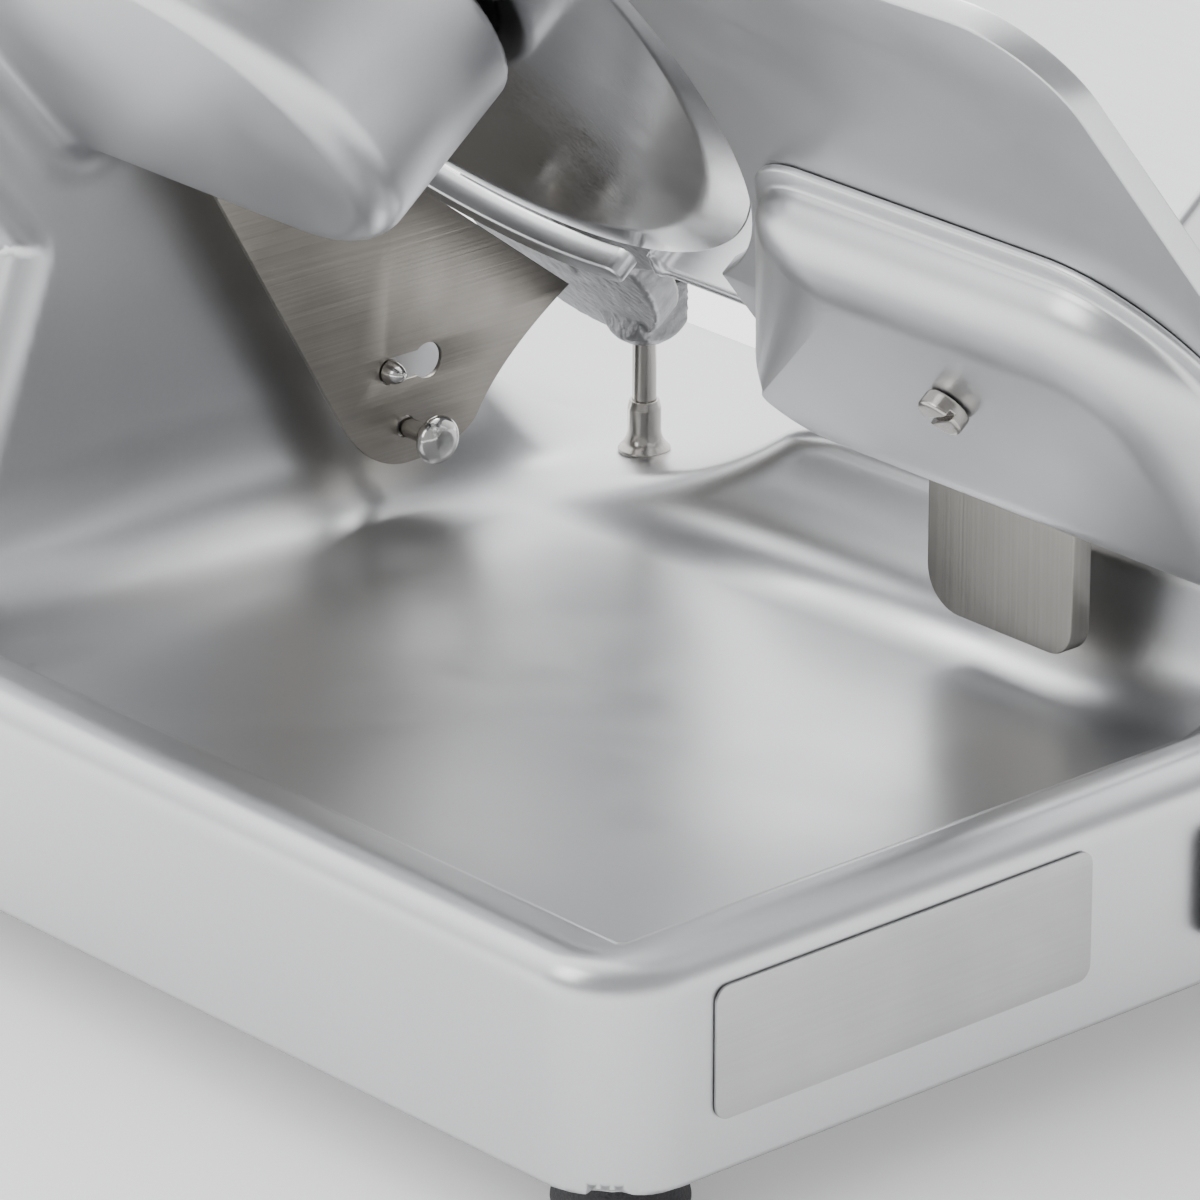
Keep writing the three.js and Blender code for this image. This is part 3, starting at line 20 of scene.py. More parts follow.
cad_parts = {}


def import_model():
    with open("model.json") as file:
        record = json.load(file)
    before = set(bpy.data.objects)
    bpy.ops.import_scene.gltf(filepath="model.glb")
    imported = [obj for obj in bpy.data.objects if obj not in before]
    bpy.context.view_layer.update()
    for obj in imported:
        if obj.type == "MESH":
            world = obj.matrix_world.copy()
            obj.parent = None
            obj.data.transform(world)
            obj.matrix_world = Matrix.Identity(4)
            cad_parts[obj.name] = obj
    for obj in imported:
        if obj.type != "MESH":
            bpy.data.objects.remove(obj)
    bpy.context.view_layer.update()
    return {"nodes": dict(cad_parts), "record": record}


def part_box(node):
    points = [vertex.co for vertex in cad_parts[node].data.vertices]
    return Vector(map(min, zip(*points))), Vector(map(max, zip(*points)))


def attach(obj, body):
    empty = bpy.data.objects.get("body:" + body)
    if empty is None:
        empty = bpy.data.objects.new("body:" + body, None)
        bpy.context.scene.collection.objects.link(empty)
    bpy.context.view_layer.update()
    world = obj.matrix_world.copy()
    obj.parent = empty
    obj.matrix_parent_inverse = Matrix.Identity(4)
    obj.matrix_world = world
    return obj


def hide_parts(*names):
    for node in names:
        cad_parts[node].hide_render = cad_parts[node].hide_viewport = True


Array = np.ndarray
Field = Callable[[Array, Array, Array], Array]
LOG = logging.getLogger("slicer")
MM = 0.001

# ---- Sizes shared by the pieces, in millimetres ----------------------------------------------------
LEAN = math.radians(38)  # knife plane from the vertical
KNIFE_X = 262.0  # where the knife plane meets the deck
BASE_LEFT, BASE_RIGHT = -24.0, 393.0
BASE_FRONT, BASE_BACK = -358.0, 150.0
TRAY_FRONT_EDGE = -336.0
BASE_LOW = -63.0
COLUMN_FACE = 3.0
KNIFE_ALONG, KNIFE_RISE, KNIFE_RADIUS = -112.0, 296.0, 150.0
KNIFE_BACK, KNIFE_FACE = 7.5, 11.5
RAIL_X, RAIL_Z = 414.0, -34.0  # axis of the carriage's rail
PIVOT_Z, ARM_Y = 30.0, -268.0  # height of the tilt pin and middle of the arm that turns on it
GAP = 0.3  # clearance between pieces that touch
WELD_DECIMALS = 3  # points of a filled outline that agree to this many decimals are one
NOISE_LOW, NOISE_HIGH = 0.3, 0.7  # between these lies most of a noise texture's value
BUMP_DISTANCE = 0.0004

# ---- A record's material slot, with the finish used for it -------------------------------------------
CAST = ("satin_aluminium", "cast_satin")
POLISHED = ("polished_steel", "polished")
ROUGH = ("rough_casting", "as_cast")
BLACK = ("black_plastic", "black_moulded")

UP_SLOPE = np.array([-math.sin(LEAN), 0.0, math.cos(LEAN)])
OUTWARD = np.array([math.cos(LEAN), 0.0, math.sin(LEAN)])
ALONG = np.array([0.0, 1.0, 0.0])


def slope_point(rise: float, out: float) -> tuple[float, float]:
    """Work x and z of the point this far up the knife plane's slope and this far out of the plane."""
    point = UP_SLOPE * rise + OUTWARD * out
    return KNIFE_X + point[0], point[2]


def knife_axes(x: Array, z: Array) -> tuple[Array, Array]:
    """Rise up the knife plane's slope and distance out of the plane, the reverse of slope_point."""
    across = x - KNIFE_X
    return UP_SLOPE[0] * across + UP_SLOPE[2] * z, OUTWARD[0] * across + OUTWARD[2] * z


@dataclass(frozen=True)
class Placement:
    """A flat frame: its origin and the directions of its own x, y and z."""

    origin: Array
    x: Array
    y: Array
    z: Array

    def lift(self, points: Array) -> Array:
        """Moves points of this frame into the work frame."""
        return self.origin + points @ np.stack([self.x, self.y, self.z])


def knife_frame(y: float = 0.0, rise: float = 0.0, out: float = 0.0) -> Placement:
    """Frame on the knife plane: x runs back, y up the slope, z out of the plane towards the product."""
    origin = np.array([KNIFE_X, 0.0, 0.0]) + y * ALONG + rise * UP_SLOPE + out * OUTWARD
    return Placement(origin, ALONG, UP_SLOPE, OUTWARD)


def front_frame(y: float, x: float = 0.0, z: float = 0.0) -> Placement:
    """Frame that faces the operator: x to the right, y up, z towards the operator."""
    return Placement(np.array([x, y, z]), np.array([1.0, 0, 0]), np.array([0, 0, 1.0]), np.array([0, -1.0, 0]))


def side_frame(x: float, y: float = 0.0, z: float = 0.0) -> Placement:
    """Frame that faces right: x runs back, y up, z to the right."""
    return Placement(np.array([x, y, z]), np.array([0, 1.0, 0]), np.array([0, 0, 1.0]), np.array([1.0, 0, 0]))


def upright_frame(x: float, y: float, z: float = 0.0) -> Placement:
    """Frame with the work frame's own directions."""
    return Placement(np.array([x, y, z]), *np.eye(3))


# ---- Meshes ----------------------------------------------------------------------------------------
@dataclass
class Workshop:
    """Turns arrays into finished pieces and puts them on their bodies."""

    origin: Array  # the work frame's origin in the model's frame, in metres
    finishes: dict[str, bpy.types.Material]

    def mesh(self, name: str, points: Array, faces: Sequence, normals: Array | None = None) -> bpy.types.Object:
        """Makes an object from points in work millimetres and faces that point outwards.

        Args:
            name: the piece's name.
            points: an (n, 3) array in the work frame.
            faces: vertex numbers of each face, as rows of an array or a list.
            normals: shading normals in the work frame, one for each point.

        Returns:
            The new object, at the origin, with its place in its mesh.
        """
        data = bpy.data.meshes.new(name)
        rows = faces.tolist() if isinstance(faces, np.ndarray) else faces
        data.from_pydata((points * MM + self.origin).astype(float).tolist(), [], rows)
        data.validate()
        data.polygons.foreach_set("use_smooth", np.ones(len(data.polygons), bool))
        if normals is not None and len(data.vertices) == len(normals):
            data.normals_split_custom_set_from_vertices(normals.tolist())
        data.update()
        piece = bpy.data.objects.new(name, data)
        bpy.context.scene.collection.objects.link(piece)
        return piece

    def mount(self, piece: bpy.types.Object, body: str, slot: str, finish: str, *nodes: str) -> bpy.types.Object:
        """Gives a piece its finish, its body and the CAD nodes it stands for.

        Args:
            piece: the finished object.
            body: the CAD body it moves with.
            slot: the record's material slot; not used.
            finish: the name of its finish.
            nodes: the CAD nodes that it replaces.

        Returns:
            The same object.
        """
        piece.data.materials.clear()
        piece.data.materials.append(self.finishes[finish])
        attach(piece, body)
        if nodes:
            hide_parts(*nodes)
        LOG.info("%s on %s: %d faces", piece.name, body, len(piece.data.polygons))
        return piece

    def lathe(self, name: str, profile: Array, place: Placement, segments: int, *seat: str, lobes: int = 0,
              depth: float = 0.0) -> bpy.types.Object:
        """Makes a turned piece and mounts it.

        Args:
            name: the piece's name.
            profile: radii and heights, as turned takes them.
            place: the frame about whose z it is turned.
            segments: points around.
            seat: body, material slot, finish and nodes, as mount takes them.
            lobes: number of waves around.
            depth: share of the radius that a wave takes.

        Returns:
            The new object.
        """
        points, faces = turned(profile, segments, lobes, depth)
        return self.mount(self.mesh(name, place.lift(points), faces), *seat)


def grid_faces(rows: int, columns: int, closed: bool = True) -> Array:
    """Quads of a grid of rows by columns; a closed grid joins its last column to its first."""
    row = np.arange(rows - 1)[:, None]
    column = np.arange(columns if closed else columns - 1)[None, :]
    after = (column + 1) % columns
    low, high = row * columns, (row + 1) * columns
    quads = [low + column, low + after, high + after, high + column]
    return np.stack(np.broadcast_arrays(*quads), -1).reshape(-1, 4)


def rounded_profile(corners: Sequence[Sequence[float]], steps: int = 6) -> Array:
    """Open profile through [radius, height, round] corners, each round one drawn as a quadratic curve.

    The curve of a corner is (1-t)^2 a + 2t(1-t) p + t^2 b, from a to b, which lie the corner's round size
    before and after it on its two sides.
    """
    points = np.array([corner[:2] for corner in corners], float)
    rounds = np.array([corner[2] if len(corner) > 2 else 0.0 for corner in corners])
    t = np.linspace(0, 1, steps)[:, None]
    parts = []
    for i, (here, size) in enumerate(zip(points, rounds)):
        if size <= 0 or i in (0, len(points) - 1):
            parts.append(here[None])
            continue
        into, away = points[i - 1] - here, points[i + 1] - here
        reach = min(size, np.linalg.norm(into) * 0.49, np.linalg.norm(away) * 0.49)
        a = here + into / np.linalg.norm(into) * reach
        b = here + away / np.linalg.norm(away) * reach
        parts.append((1 - t) ** 2 * a + 2 * t * (1 - t) * here + t**2 * b)
    return np.concatenate(parts)


def turned(profile: Array, segments: int = 64, lobes: int = 0, depth: float = 0.0) -> tuple[Array, Array]:
    """Solid of revolution about z: (r cos a, r sin a, h), its radius waved by 1 + depth cos(lobes a).

    Args:
        profile: (n, 2) radii and heights, from the axis at the bottom to the axis at the top.
        segments: points around.
        lobes: number of waves around.
        depth: share of the radius that a wave takes.

    Returns:
        Points and faces, closed at both poles.
    """
    angle = np.linspace(0, 2 * np.pi, segments, endpoint=False)
    rings = profile[1:-1]
    largest = rings[:, 0].max()
    wave = depth * np.cos(lobes * angle)[None, :] * np.clip(rings[:, :1] / largest, 0, 1) ** 2
    radius = rings[:, :1] * (1 + wave)
    height = np.broadcast_to(rings[:, 1:], radius.shape)
    body = np.stack([radius * np.cos(angle), radius * np.sin(angle), height], -1).reshape(-1, 3)
    poles = np.array([[0, 0, profile[0, 1]], [0, 0, profile[-1, 1]]])
    quads = grid_faces(len(rings), segments)
    around = np.arange(segments)
    after = (around + 1) % segments
    first, last = len(body), len(body) + 1
    top = (len(rings) - 1) * segments
    low_fan = np.stack([np.full(segments, first), after, around], -1)
    high_fan = np.stack([np.full(segments, last), top + around, top + after], -1)
    return np.concatenate([body, poles]), quads.tolist() + low_fan.tolist() + high_fan.tolist()


def arc(x: float, y: float, radius: float, start: float, end: float, steps: int = 24) -> Array:
    """Points of an arc; angles in degrees."""
    angle = np.radians(np.linspace(start, end, steps))
    return np.stack([x + radius * np.cos(angle), y + radius * np.sin(angle)], -1)


def rounded(corners: Sequence[Sequence[float]], steps: int = 9) -> Array:
    """Closed outline through [x, y, radius] corners, each round one an arc tangent to its two sides."""
    points = np.array([corner[:2] for corner in corners], float)
    parts = []
    for i, here in enumerate(points):
        radius = corners[i][2] if len(corners[i]) > 2 else 0.0
        into = points[i - 1] - here
        away = points[(i + 1) % len(points)] - here
        into, away = into / np.linalg.norm(into), away / np.linalg.norm(away)
        if radius <= 0:
            parts.append(here[None])
            continue
        half = math.acos(float(np.clip(into @ away, -1, 1))) / 2
        middle = (into + away) / np.linalg.norm(into + away)
        centre = here + middle * radius / math.sin(half)
        start = here + into * radius / math.tan(half) - centre
        end = here + away * radius / math.tan(half) - centre
        a0, a1 = math.atan2(start[1], start[0]), math.atan2(end[1], end[0])
        turn = (a1 - a0 + math.pi) % (2 * math.pi) - math.pi
        angle = a0 + turn * np.linspace(0, 1, steps)
        parts.append(centre + radius * np.stack([np.cos(angle), np.sin(angle)], -1))
    return np.concatenate(parts)


def plate(name: str, outlines: Sequence[Array], low: float, high: float, edge: float, place: Placement,
          shop: Workshop) -> bpy.types.Object:
    """Flat plate of one outline with holes, between two heights, its edges rounded by a bevel.

    Args:
        name: the piece's name.
        outlines: the outer outline first, then each hole.
        low: the back face's height.
        high: the front face's height.
        edge: the rounding of every edge.
        place: the frame in which the plate is drawn.
        shop: makes the object.

    Returns:
        The new object.
    """
    curve = bpy.data.curves.new(name + "_outline", "CURVE")
    curve.dimensions = "2D"
    curve.fill_mode = "BOTH"
    curve.extrude = (high - low) / 2 - edge
    curve.bevel_depth = edge
    curve.bevel_resolution = 2
    curve.offset = -edge
    for points in outlines:
        spline = curve.splines.new("POLY")
        spline.points.add(len(points) - 1)
        flat = np.concatenate([points, np.zeros((len(points), 1)), np.ones((len(points), 1))], 1)
        spline.points.foreach_set("co", flat.astype(np.float32).ravel())
        spline.use_cyclic_u = True
    holder = bpy.data.objects.new(name + "_outline", curve)
    bpy.context.scene.collection.objects.link(holder)
    bpy.context.view_layer.update()
    data = bpy.data.meshes.new_from_object(holder.evaluated_get(bpy.context.evaluated_depsgraph_get()))
    flat = np.zeros(len(data.vertices) * 3, np.float32)
    data.vertices.foreach_get("co", flat)
    points = flat.reshape(-1, 3).astype(float) + np.array([0, 0, (low + high) / 2])
    _, first, again = np.unique(np.round(points, WELD_DECIMALS), axis=0, return_index=True, return_inverse=True)
    again = again.ravel()
    rows = [[int(again[v]) for v in polygon.vertices] for polygon in data.polygons]
    rows = [row for row in rows if len(set(row)) == len(row)]
    bpy.data.objects.remove(holder)
    bpy.data.curves.remove(curve)
    bpy.data.meshes.remove(data)
    piece = shop.mesh(name, place.lift(points[first]), rows)
    Flattener(piece).outwards()
    return piece


@dataclass
class Flattener:
    """Repairs a mesh made from a filled outline and keeps its flat faces flat in the shading."""

    piece: bpy.types.Object
    angle: float = math.radians(24)

    def outwards(self) -> None:
        """Turns every face outwards and marks the edges sharper than the angle."""
        work = bmesh.new()
        work.from_mesh(self.piece.data)
        bmesh.ops.recalc_face_normals(work, faces=work.faces)
        for edge in work.edges:
            edge.smooth = len(edge.link_faces) == 2 and edge.calc_face_angle(0.0) < self.angle
        work.to_mesh(self.piece.data)
        work.free()


# ---- Solids given as distance fields -----------------------------------------------------------------
def blend_min(a: Array, b: Array, size: float) -> Array:
    """Union of two fields with a fillet: min(a, b) less h^2 size/4, with h = max(size - |a - b|, 0)/size."""
    h = np.maximum(size - np.abs(a - b), 0) / size
    return np.minimum(a, b) - h * h * size / 4


def blend_max(a: Array, b: Array, size: float) -> Array:
    """Common part of two fields with a rounded edge, the mirror of blend_min."""
    return -blend_min(-a, -b, size)


def box_field(p: tuple[Array, Array, Array], low: Sequence[float], high: Sequence[float], edge: float) -> Array:
    """Distance to a box with rounded edges: length of the positive excess, plus the largest negative one."""
    excess = [np.abs(v - (a + b) / 2) - (b - a) / 2 + edge for v, a, b in zip(p, low, high)]
    outside = np.sqrt(sum(np.maximum(e, 0) ** 2 for e in excess))
    return outside + np.minimum(np.maximum(np.maximum(excess[0], excess[1]), excess[2]), 0) - edge


def rod_field(p: tuple[Array, Array, Array], radius: float, low: float, high: float, edge: float) -> Array:
    """Distance to an upright cylinder about z with rounded rims."""
    side = np.sqrt(p[0] ** 2 + p[1] ** 2) - radius + edge
    ends = np.abs(p[2] - (low + high) / 2) - (high - low) / 2 + edge
    outside = np.sqrt(np.maximum(side, 0) ** 2 + np.maximum(ends, 0) ** 2)
    return outside + np.minimum(np.maximum(side, ends), 0) - edge


def round_field(u: Array, v: Array, radius: float) -> Array:
    """Distance to an endless cylinder whose axis is where u and v are zero."""
    return np.sqrt(u**2 + v**2) - radius


def outline_field(u: Array, v: Array, corners: Sequence[Sequence[float]]) -> Array:
    """Signed distance to a closed outline: nearest side's distance, negative where a ray crosses oddly."""
    near = np.full(u.shape, 1e9, u.dtype)
    inside = np.zeros(u.shape, bool)
    for i, (bx, by) in enumerate(corners):
        ax, ay = corners[i - 1]
        ex, ey = bx - ax, by - ay
        t = np.clip(((u - ax) * ex + (v - ay) * ey) / (ex * ex + ey * ey), 0, 1)
        near = np.minimum(near, (u - ax - t * ex) ** 2 + (v - ay - t * ey) ** 2)
        if ay != by:
            crosses = (v < ay) != (v < by)
            inside ^= crosses & (u < ax + (v - ay) * ex / ey)
    return np.where(inside, -1, 1) * np.sqrt(near)


def raised(flat: Array, height: Array, low: float, high: float, edge: float) -> Array:
    """Extrudes a flat field between two heights, with rounded edges."""
    side = flat + edge
    ends = np.abs(height - (low + high) / 2) - (high - low) / 2 + edge
    outside = np.sqrt(np.maximum(side, 0) ** 2 + np.maximum(ends, 0) ** 2)
    return outside + np.minimum(np.maximum(side, ends), 0) - edge


def skin(solid: Field, low: Sequence[float], high: Sequence[float], step: float) -> tuple[Array, Array, Array]:
    """Closed surface where a field is zero.

    Each cell of a regular grid that the surface passes gets one point, the mean of the places where its
    edges cross zero.  Each grid edge that crosses joins the points of its four cells in a quad.  Two steps
    along the gradient, p - f g / |g|^2, then put every point on the surface.

    Args:
        solid: the field, negative inside.
        low: the grid's lowest corner.
        high: its highest corner.
        step: the grid's spacing.

    Returns:
        Points, quads that point outwards, and unit normals.
    """
    axes = [np.arange(a - 1.5 * step, b + 2.5 * step, step, dtype=np.float32) for a, b in zip(low, high)]
    value = solid(*np.meshgrid(*axes, indexing="ij")).astype(np.float32)
    for axis in range(3):
        rim = np.moveaxis(value, axis, 0)
        rim[[0, -1]] = np.maximum(rim[[0, -1]], 0.01)
    inside = value < 0
    count = [len(axis) - 1 for axis in axes]
    total = np.zeros(count, np.uint8)
    corners = [(i, j, k) for i in (0, 1) for j in (0, 1) for k in (0, 1)]
    for i, j, k in corners:
        total += inside[i:count[0] + i, j:count[1] + j, k:count[2] + k]
    cells = np.argwhere((total > 0) & (total < 8))
    number = np.full(count, -1, np.int64)
    number[tuple(cells.T)] = np.arange(len(cells))
    summed = np.zeros((len(cells), 3))
    crossings = np.zeros((len(cells), 1))
    for corner in corners:
        for axis in range(3):
            if corner[axis]:
                continue
            a = cells + corner
            b = a.copy()
            b[:, axis] += 1
            fa, fb = value[tuple(a.T)], value[tuple(b.T)]
            hit = (fa < 0) != (fb < 0)
            share = np.where(hit, fa / np.where(hit, fa - fb, 1), 0)
            place = a.astype(float)
            place[:, axis] += share
            summed += place * hit[:, None]
            crossings += hit[:, None]
    points = summed / crossings * step + np.array([axis[0] for axis in axes])
    quads = []
    for axis in range(3):
        u, v = (axis + 1) % 3, (axis + 2) % 3
        ahead = np.take(inside, range(1, inside.shape[axis]), axis)
        here = np.take(inside, range(inside.shape[axis] - 1), axis)
        edges = np.argwhere(ahead != here)
        outward = here[tuple(edges.T)]
        ring = []
        for du, dv in ((0, 0), (1, 0), (1, 1), (0, 1)):
            cell = edges.copy()
            cell[:, u] -= du
            cell[:, v] -= dv
            ring.append(number[tuple(cell.T)])
        ring = np.stack(ring, -1)
        quads.append(np.where(outward[:, None], ring, ring[:, ::-1]))
    for _ in range(2):
        slope, f = gradient(solid, points)
        points = points - np.clip(f / np.maximum((slope**2).sum(1), 0.1), -step, step)[:, None] * slope
    slope, _ = gradient(solid, points)
    normals = slope / np.maximum(np.linalg.norm(slope, axis=1, keepdims=True), 1e-6)
    return points, np.concatenate(quads), normals


def gradient(solid: Field, points: Array, reach: float = 0.15) -> tuple[Array, Array]:
    """A field's gradient by central differences, and its value, at each point."""
    parts = []
    for axis in range(3):
        shift = np.zeros(3)
        shift[axis] = reach
        ahead, behind = (points + shift).T, (points - shift).T
        parts.append((solid(*ahead) - solid(*behind)) / (2 * reach))
    return np.stack(parts, -1), solid(*points.T)


def cast(name: str, solid: Field, low: Sequence[float], high: Sequence[float], step: float, place: Placement,
         shop: Workshop) -> bpy.types.Object:
    """Piece whose surface is the zero of a field given in the frame of its placement."""
    points, quads, normals = skin(solid, low, high, step)
    turn = np.stack([place.x, place.y, place.z])
    return shop.mesh(name, place.lift(points), quads, normals @ turn)


# ---- Finishes ----------------------------------------------------------------------------------------
class Grain(Enum):
    """Direction in which a surface was brushed, as the scale of its noise along X, Y and Z."""

    ALONG_X = (6.0, 900.0, 900.0)
    ALONG_Y = (900.0, 6.0, 900.0)
    ALONG_Z = (900.0, 900.0, 6.0)
    NONE = (700.0, 700.0, 700.0)


@dataclass(frozen=True)
class Finish:
    """A procedural material: colour, gloss, brushed grain, mottling and pitting."""

    name: str
    color: tuple[float, float, float]
    metallic: float
    roughness: float
    spread: float = 0.08  # how far the roughness varies
    grain: Grain = Grain.NONE
    turn: tuple[float, float, float] = (0.0, 0.0, 0.0)  # degrees that the grain is turned
    grain_depth: float = 0.1
    mottle: float = 0.06  # share by which the colour varies
    mottle_scale: float = 18.0
    pits: float = 0.0
    pit_scale: float = 900.0
    coat: float = 0.0

    def make(self) -> bpy.types.Material:
        """Builds the node material.

        Returns:
            The new material.
        """
        material = bpy.data.materials.new(self.name)
        material.use_nodes = True
        tree = material.node_tree
        shader = tree.nodes["Principled BSDF"]
        shader.inputs["Metallic"].default_value = self.metallic
        shader.inputs["Coat Weight"].default_value = self.coat
        place = tree.nodes.new("ShaderNodeTexCoord")
        cloud = self._noise(tree, place, (1, 1, 1), self.mottle_scale, 3.0)
        brushed = self._noise(tree, place, self.grain.value, 1.0, 2.0, self.turn)
        tone = self._range(tree, cloud, 1 - self.mottle, 1 + self.mottle)
        fine = self._range(tree, brushed, 1 - self.mottle * 0.7, 1 + self.mottle * 0.7)
        both = self._math(tree, "MULTIPLY", tone, fine)
        tint = tree.nodes.new("ShaderNodeVectorMath")
        tint.operation = "SCALE"
        tint.inputs[0].default_value = self.color
        tree.links.new(both, tint.inputs["Scale"])
        tree.links.new(tint.outputs[0], shader.inputs["Base Color"])
        wear = self._noise(tree, place, (1, 1, 1), self.mottle_scale * 2.7, 5.0)
        rough_low = self._range(tree, wear, self.roughness - self.spread, self.roughness + self.spread)
        streak = self._range(tree, brushed, -self.spread * 0.6, self.spread * 0.6)
        tree.links.new(self._math(tree, "ADD", rough_low, streak), shader.inputs["Roughness"])
        height = brushed
        if self.pits > 0:
            pit = self._noise(tree, place, (1, 1, 1), self.pit_scale, 2.0)
            height = self._math(tree, "ADD", brushed, self._range(tree, pit, -self.pits, self.pits))
        bump = tree.nodes.new("ShaderNodeBump")
        bump.inputs["Strength"].default_value = self.grain_depth
        bump.inputs["Distance"].default_value = BUMP_DISTANCE
        tree.links.new(height, bump.inputs["Height"])
        tree.links.new(bump.outputs[0], shader.inputs["Normal"])
        return material

    def _noise(self, tree: bpy.types.NodeTree, place: bpy.types.Node, stretch: Sequence[float], scale: float,
               detail: float, turn: Sequence[float] = (0, 0, 0)) -> bpy.types.NodeSocket:
        """Noise in Object coordinates, stretched along the grain."""
        mapping = tree.nodes.new("ShaderNodeMapping")
        mapping.inputs["Scale"].default_value = tuple(stretch)
        mapping.inputs["Rotation"].default_value = tuple(math.radians(t) for t in turn)
        noise = tree.nodes.new("ShaderNodeTexNoise")
        noise.inputs["Scale"].default_value = scale
        noise.inputs["Detail"].default_value = detail
        tree.links.new(place.outputs["Object"], mapping.inputs["Vector"])
        tree.links.new(mapping.outputs[0], noise.inputs["Vector"])
        return noise.outputs[0]

    def _range(self, tree: bpy.types.NodeTree, socket: bpy.types.NodeSocket, low: float,
               high: float) -> bpy.types.NodeSocket:
        """Spreads noise between two values."""
        node = tree.nodes.new("ShaderNodeMapRange")
        node.inputs["From Min"].default_value = NOISE_LOW
        node.inputs["From Max"].default_value = NOISE_HIGH
        node.inputs["To Min"].default_value = low
        node.inputs["To Max"].default_value = high
        tree.links.new(socket, node.inputs["Value"])
        return node.outputs[0]

    def _math(self, tree: bpy.types.NodeTree, operation: str, a: bpy.types.NodeSocket,
              b: bpy.types.NodeSocket) -> bpy.types.NodeSocket:
        """Joins two values with one operation."""
        node = tree.nodes.new("ShaderNodeMath")
        node.operation = operation
        tree.links.new(a, node.inputs[0])
        tree.links.new(b, node.inputs[1])
        return node.outputs[0]


FINISHES = [
    Finish("cast_satin", (0.575, 0.58, 0.59), 1.0, 0.33, 0.028, grain_depth=0.006, mottle=0.02,
           mottle_scale=9.0),
    Finish("sheet_satin", (0.59, 0.595, 0.605), 1.0, 0.34, 0.03, Grain.ALONG_Y, grain_depth=0.012, mottle=0.02),
    Finish("brushed_warm", (0.34, 0.318, 0.285), 1.0, 0.36, 0.045, Grain.ALONG_X, (0, 38, 0), 0.22, 0.10, 22.0),
    Finish("brushed_plain", (0.33, 0.318, 0.295), 1.0, 0.37, 0.045, Grain.ALONG_Z, grain_depth=0.2, mottle=0.08),
    Finish("brushed_plate", (0.46, 0.46, 0.465), 1.0, 0.42, 0.05, Grain.ALONG_X, grain_depth=0.1, mottle=0.05),
    Finish("polished", (0.58, 0.57, 0.555), 1.0, 0.12, 0.05, Grain.ALONG_Z, grain_depth=0.05, mottle=0.03),
    Finish("pin_steel", (0.40, 0.38, 0.355), 1.0, 0.20, 0.03, Grain.ALONG_Z, grain_depth=0.08, mottle=0.06),
    Finish("knife_steel", (0.58, 0.58, 0.585), 1.0, 0.16, 0.05, grain_depth=0.04, mottle=0.03),
    Finish("as_cast", (0.30, 0.30, 0.305), 1.0, 0.5, 0.06, grain_depth=0.22, mottle=0.08,
           mottle_scale=60.0, pits=1.0, pit_scale=420.0),
    Finish("dark_machined", (0.26, 0.26, 0.27), 1.0, 0.42, 0.08, grain_depth=0.15, mottle=0.1),
    Finish("bronze_machined", (0.55, 0.38, 0.18), 1.0, 0.38, 0.05, grain_depth=0.1, mottle=0.1),
    Finish("black_moulded", (0.018, 0.018, 0.02), 0.0, 0.42, 0.08, grain_depth=0.25, mottle=0.2,
           pits=0.6),
    Finish("red_moulded", (0.52, 0.02, 0.015), 0.0, 0.21, 0.03, grain_depth=0.06, mottle=0.06, coat=0.3),
    Finish("green_moulded", (0.02, 0.26, 0.07), 0.0, 0.21, 0.03, grain_depth=0.06, mottle=0.06,
           coat=0.3),
    Finish("moulded_rubber", (0.035, 0.035, 0.038), 0.0, 0.75, 0.1, grain_depth=0.5, mottle=0.15,
           pits=0.8),
    Finish("abrasive", (0.36, 0.27, 0.20), 0.0, 0.9, 0.05, grain_depth=1.0, mottle=0.35,
           mottle_scale=900.0, pits=1.2, pit_scale=2200.0),
]
SLOT_FINISH = {
    "satin_aluminium": "sheet_satin", "brushed_steel": "brushed_plate", "polished_steel": "polished",
    "rough_casting": "as_cast", "dark_steel": "dark_machined", "bronze": "bronze_machined",
    "black_plastic": "black_moulded", "red_plastic": "red_moulded", "green_plastic": "green_moulded",
    "grey_rubber": "moulded_rubber", "stone_grit": "abrasive",
}


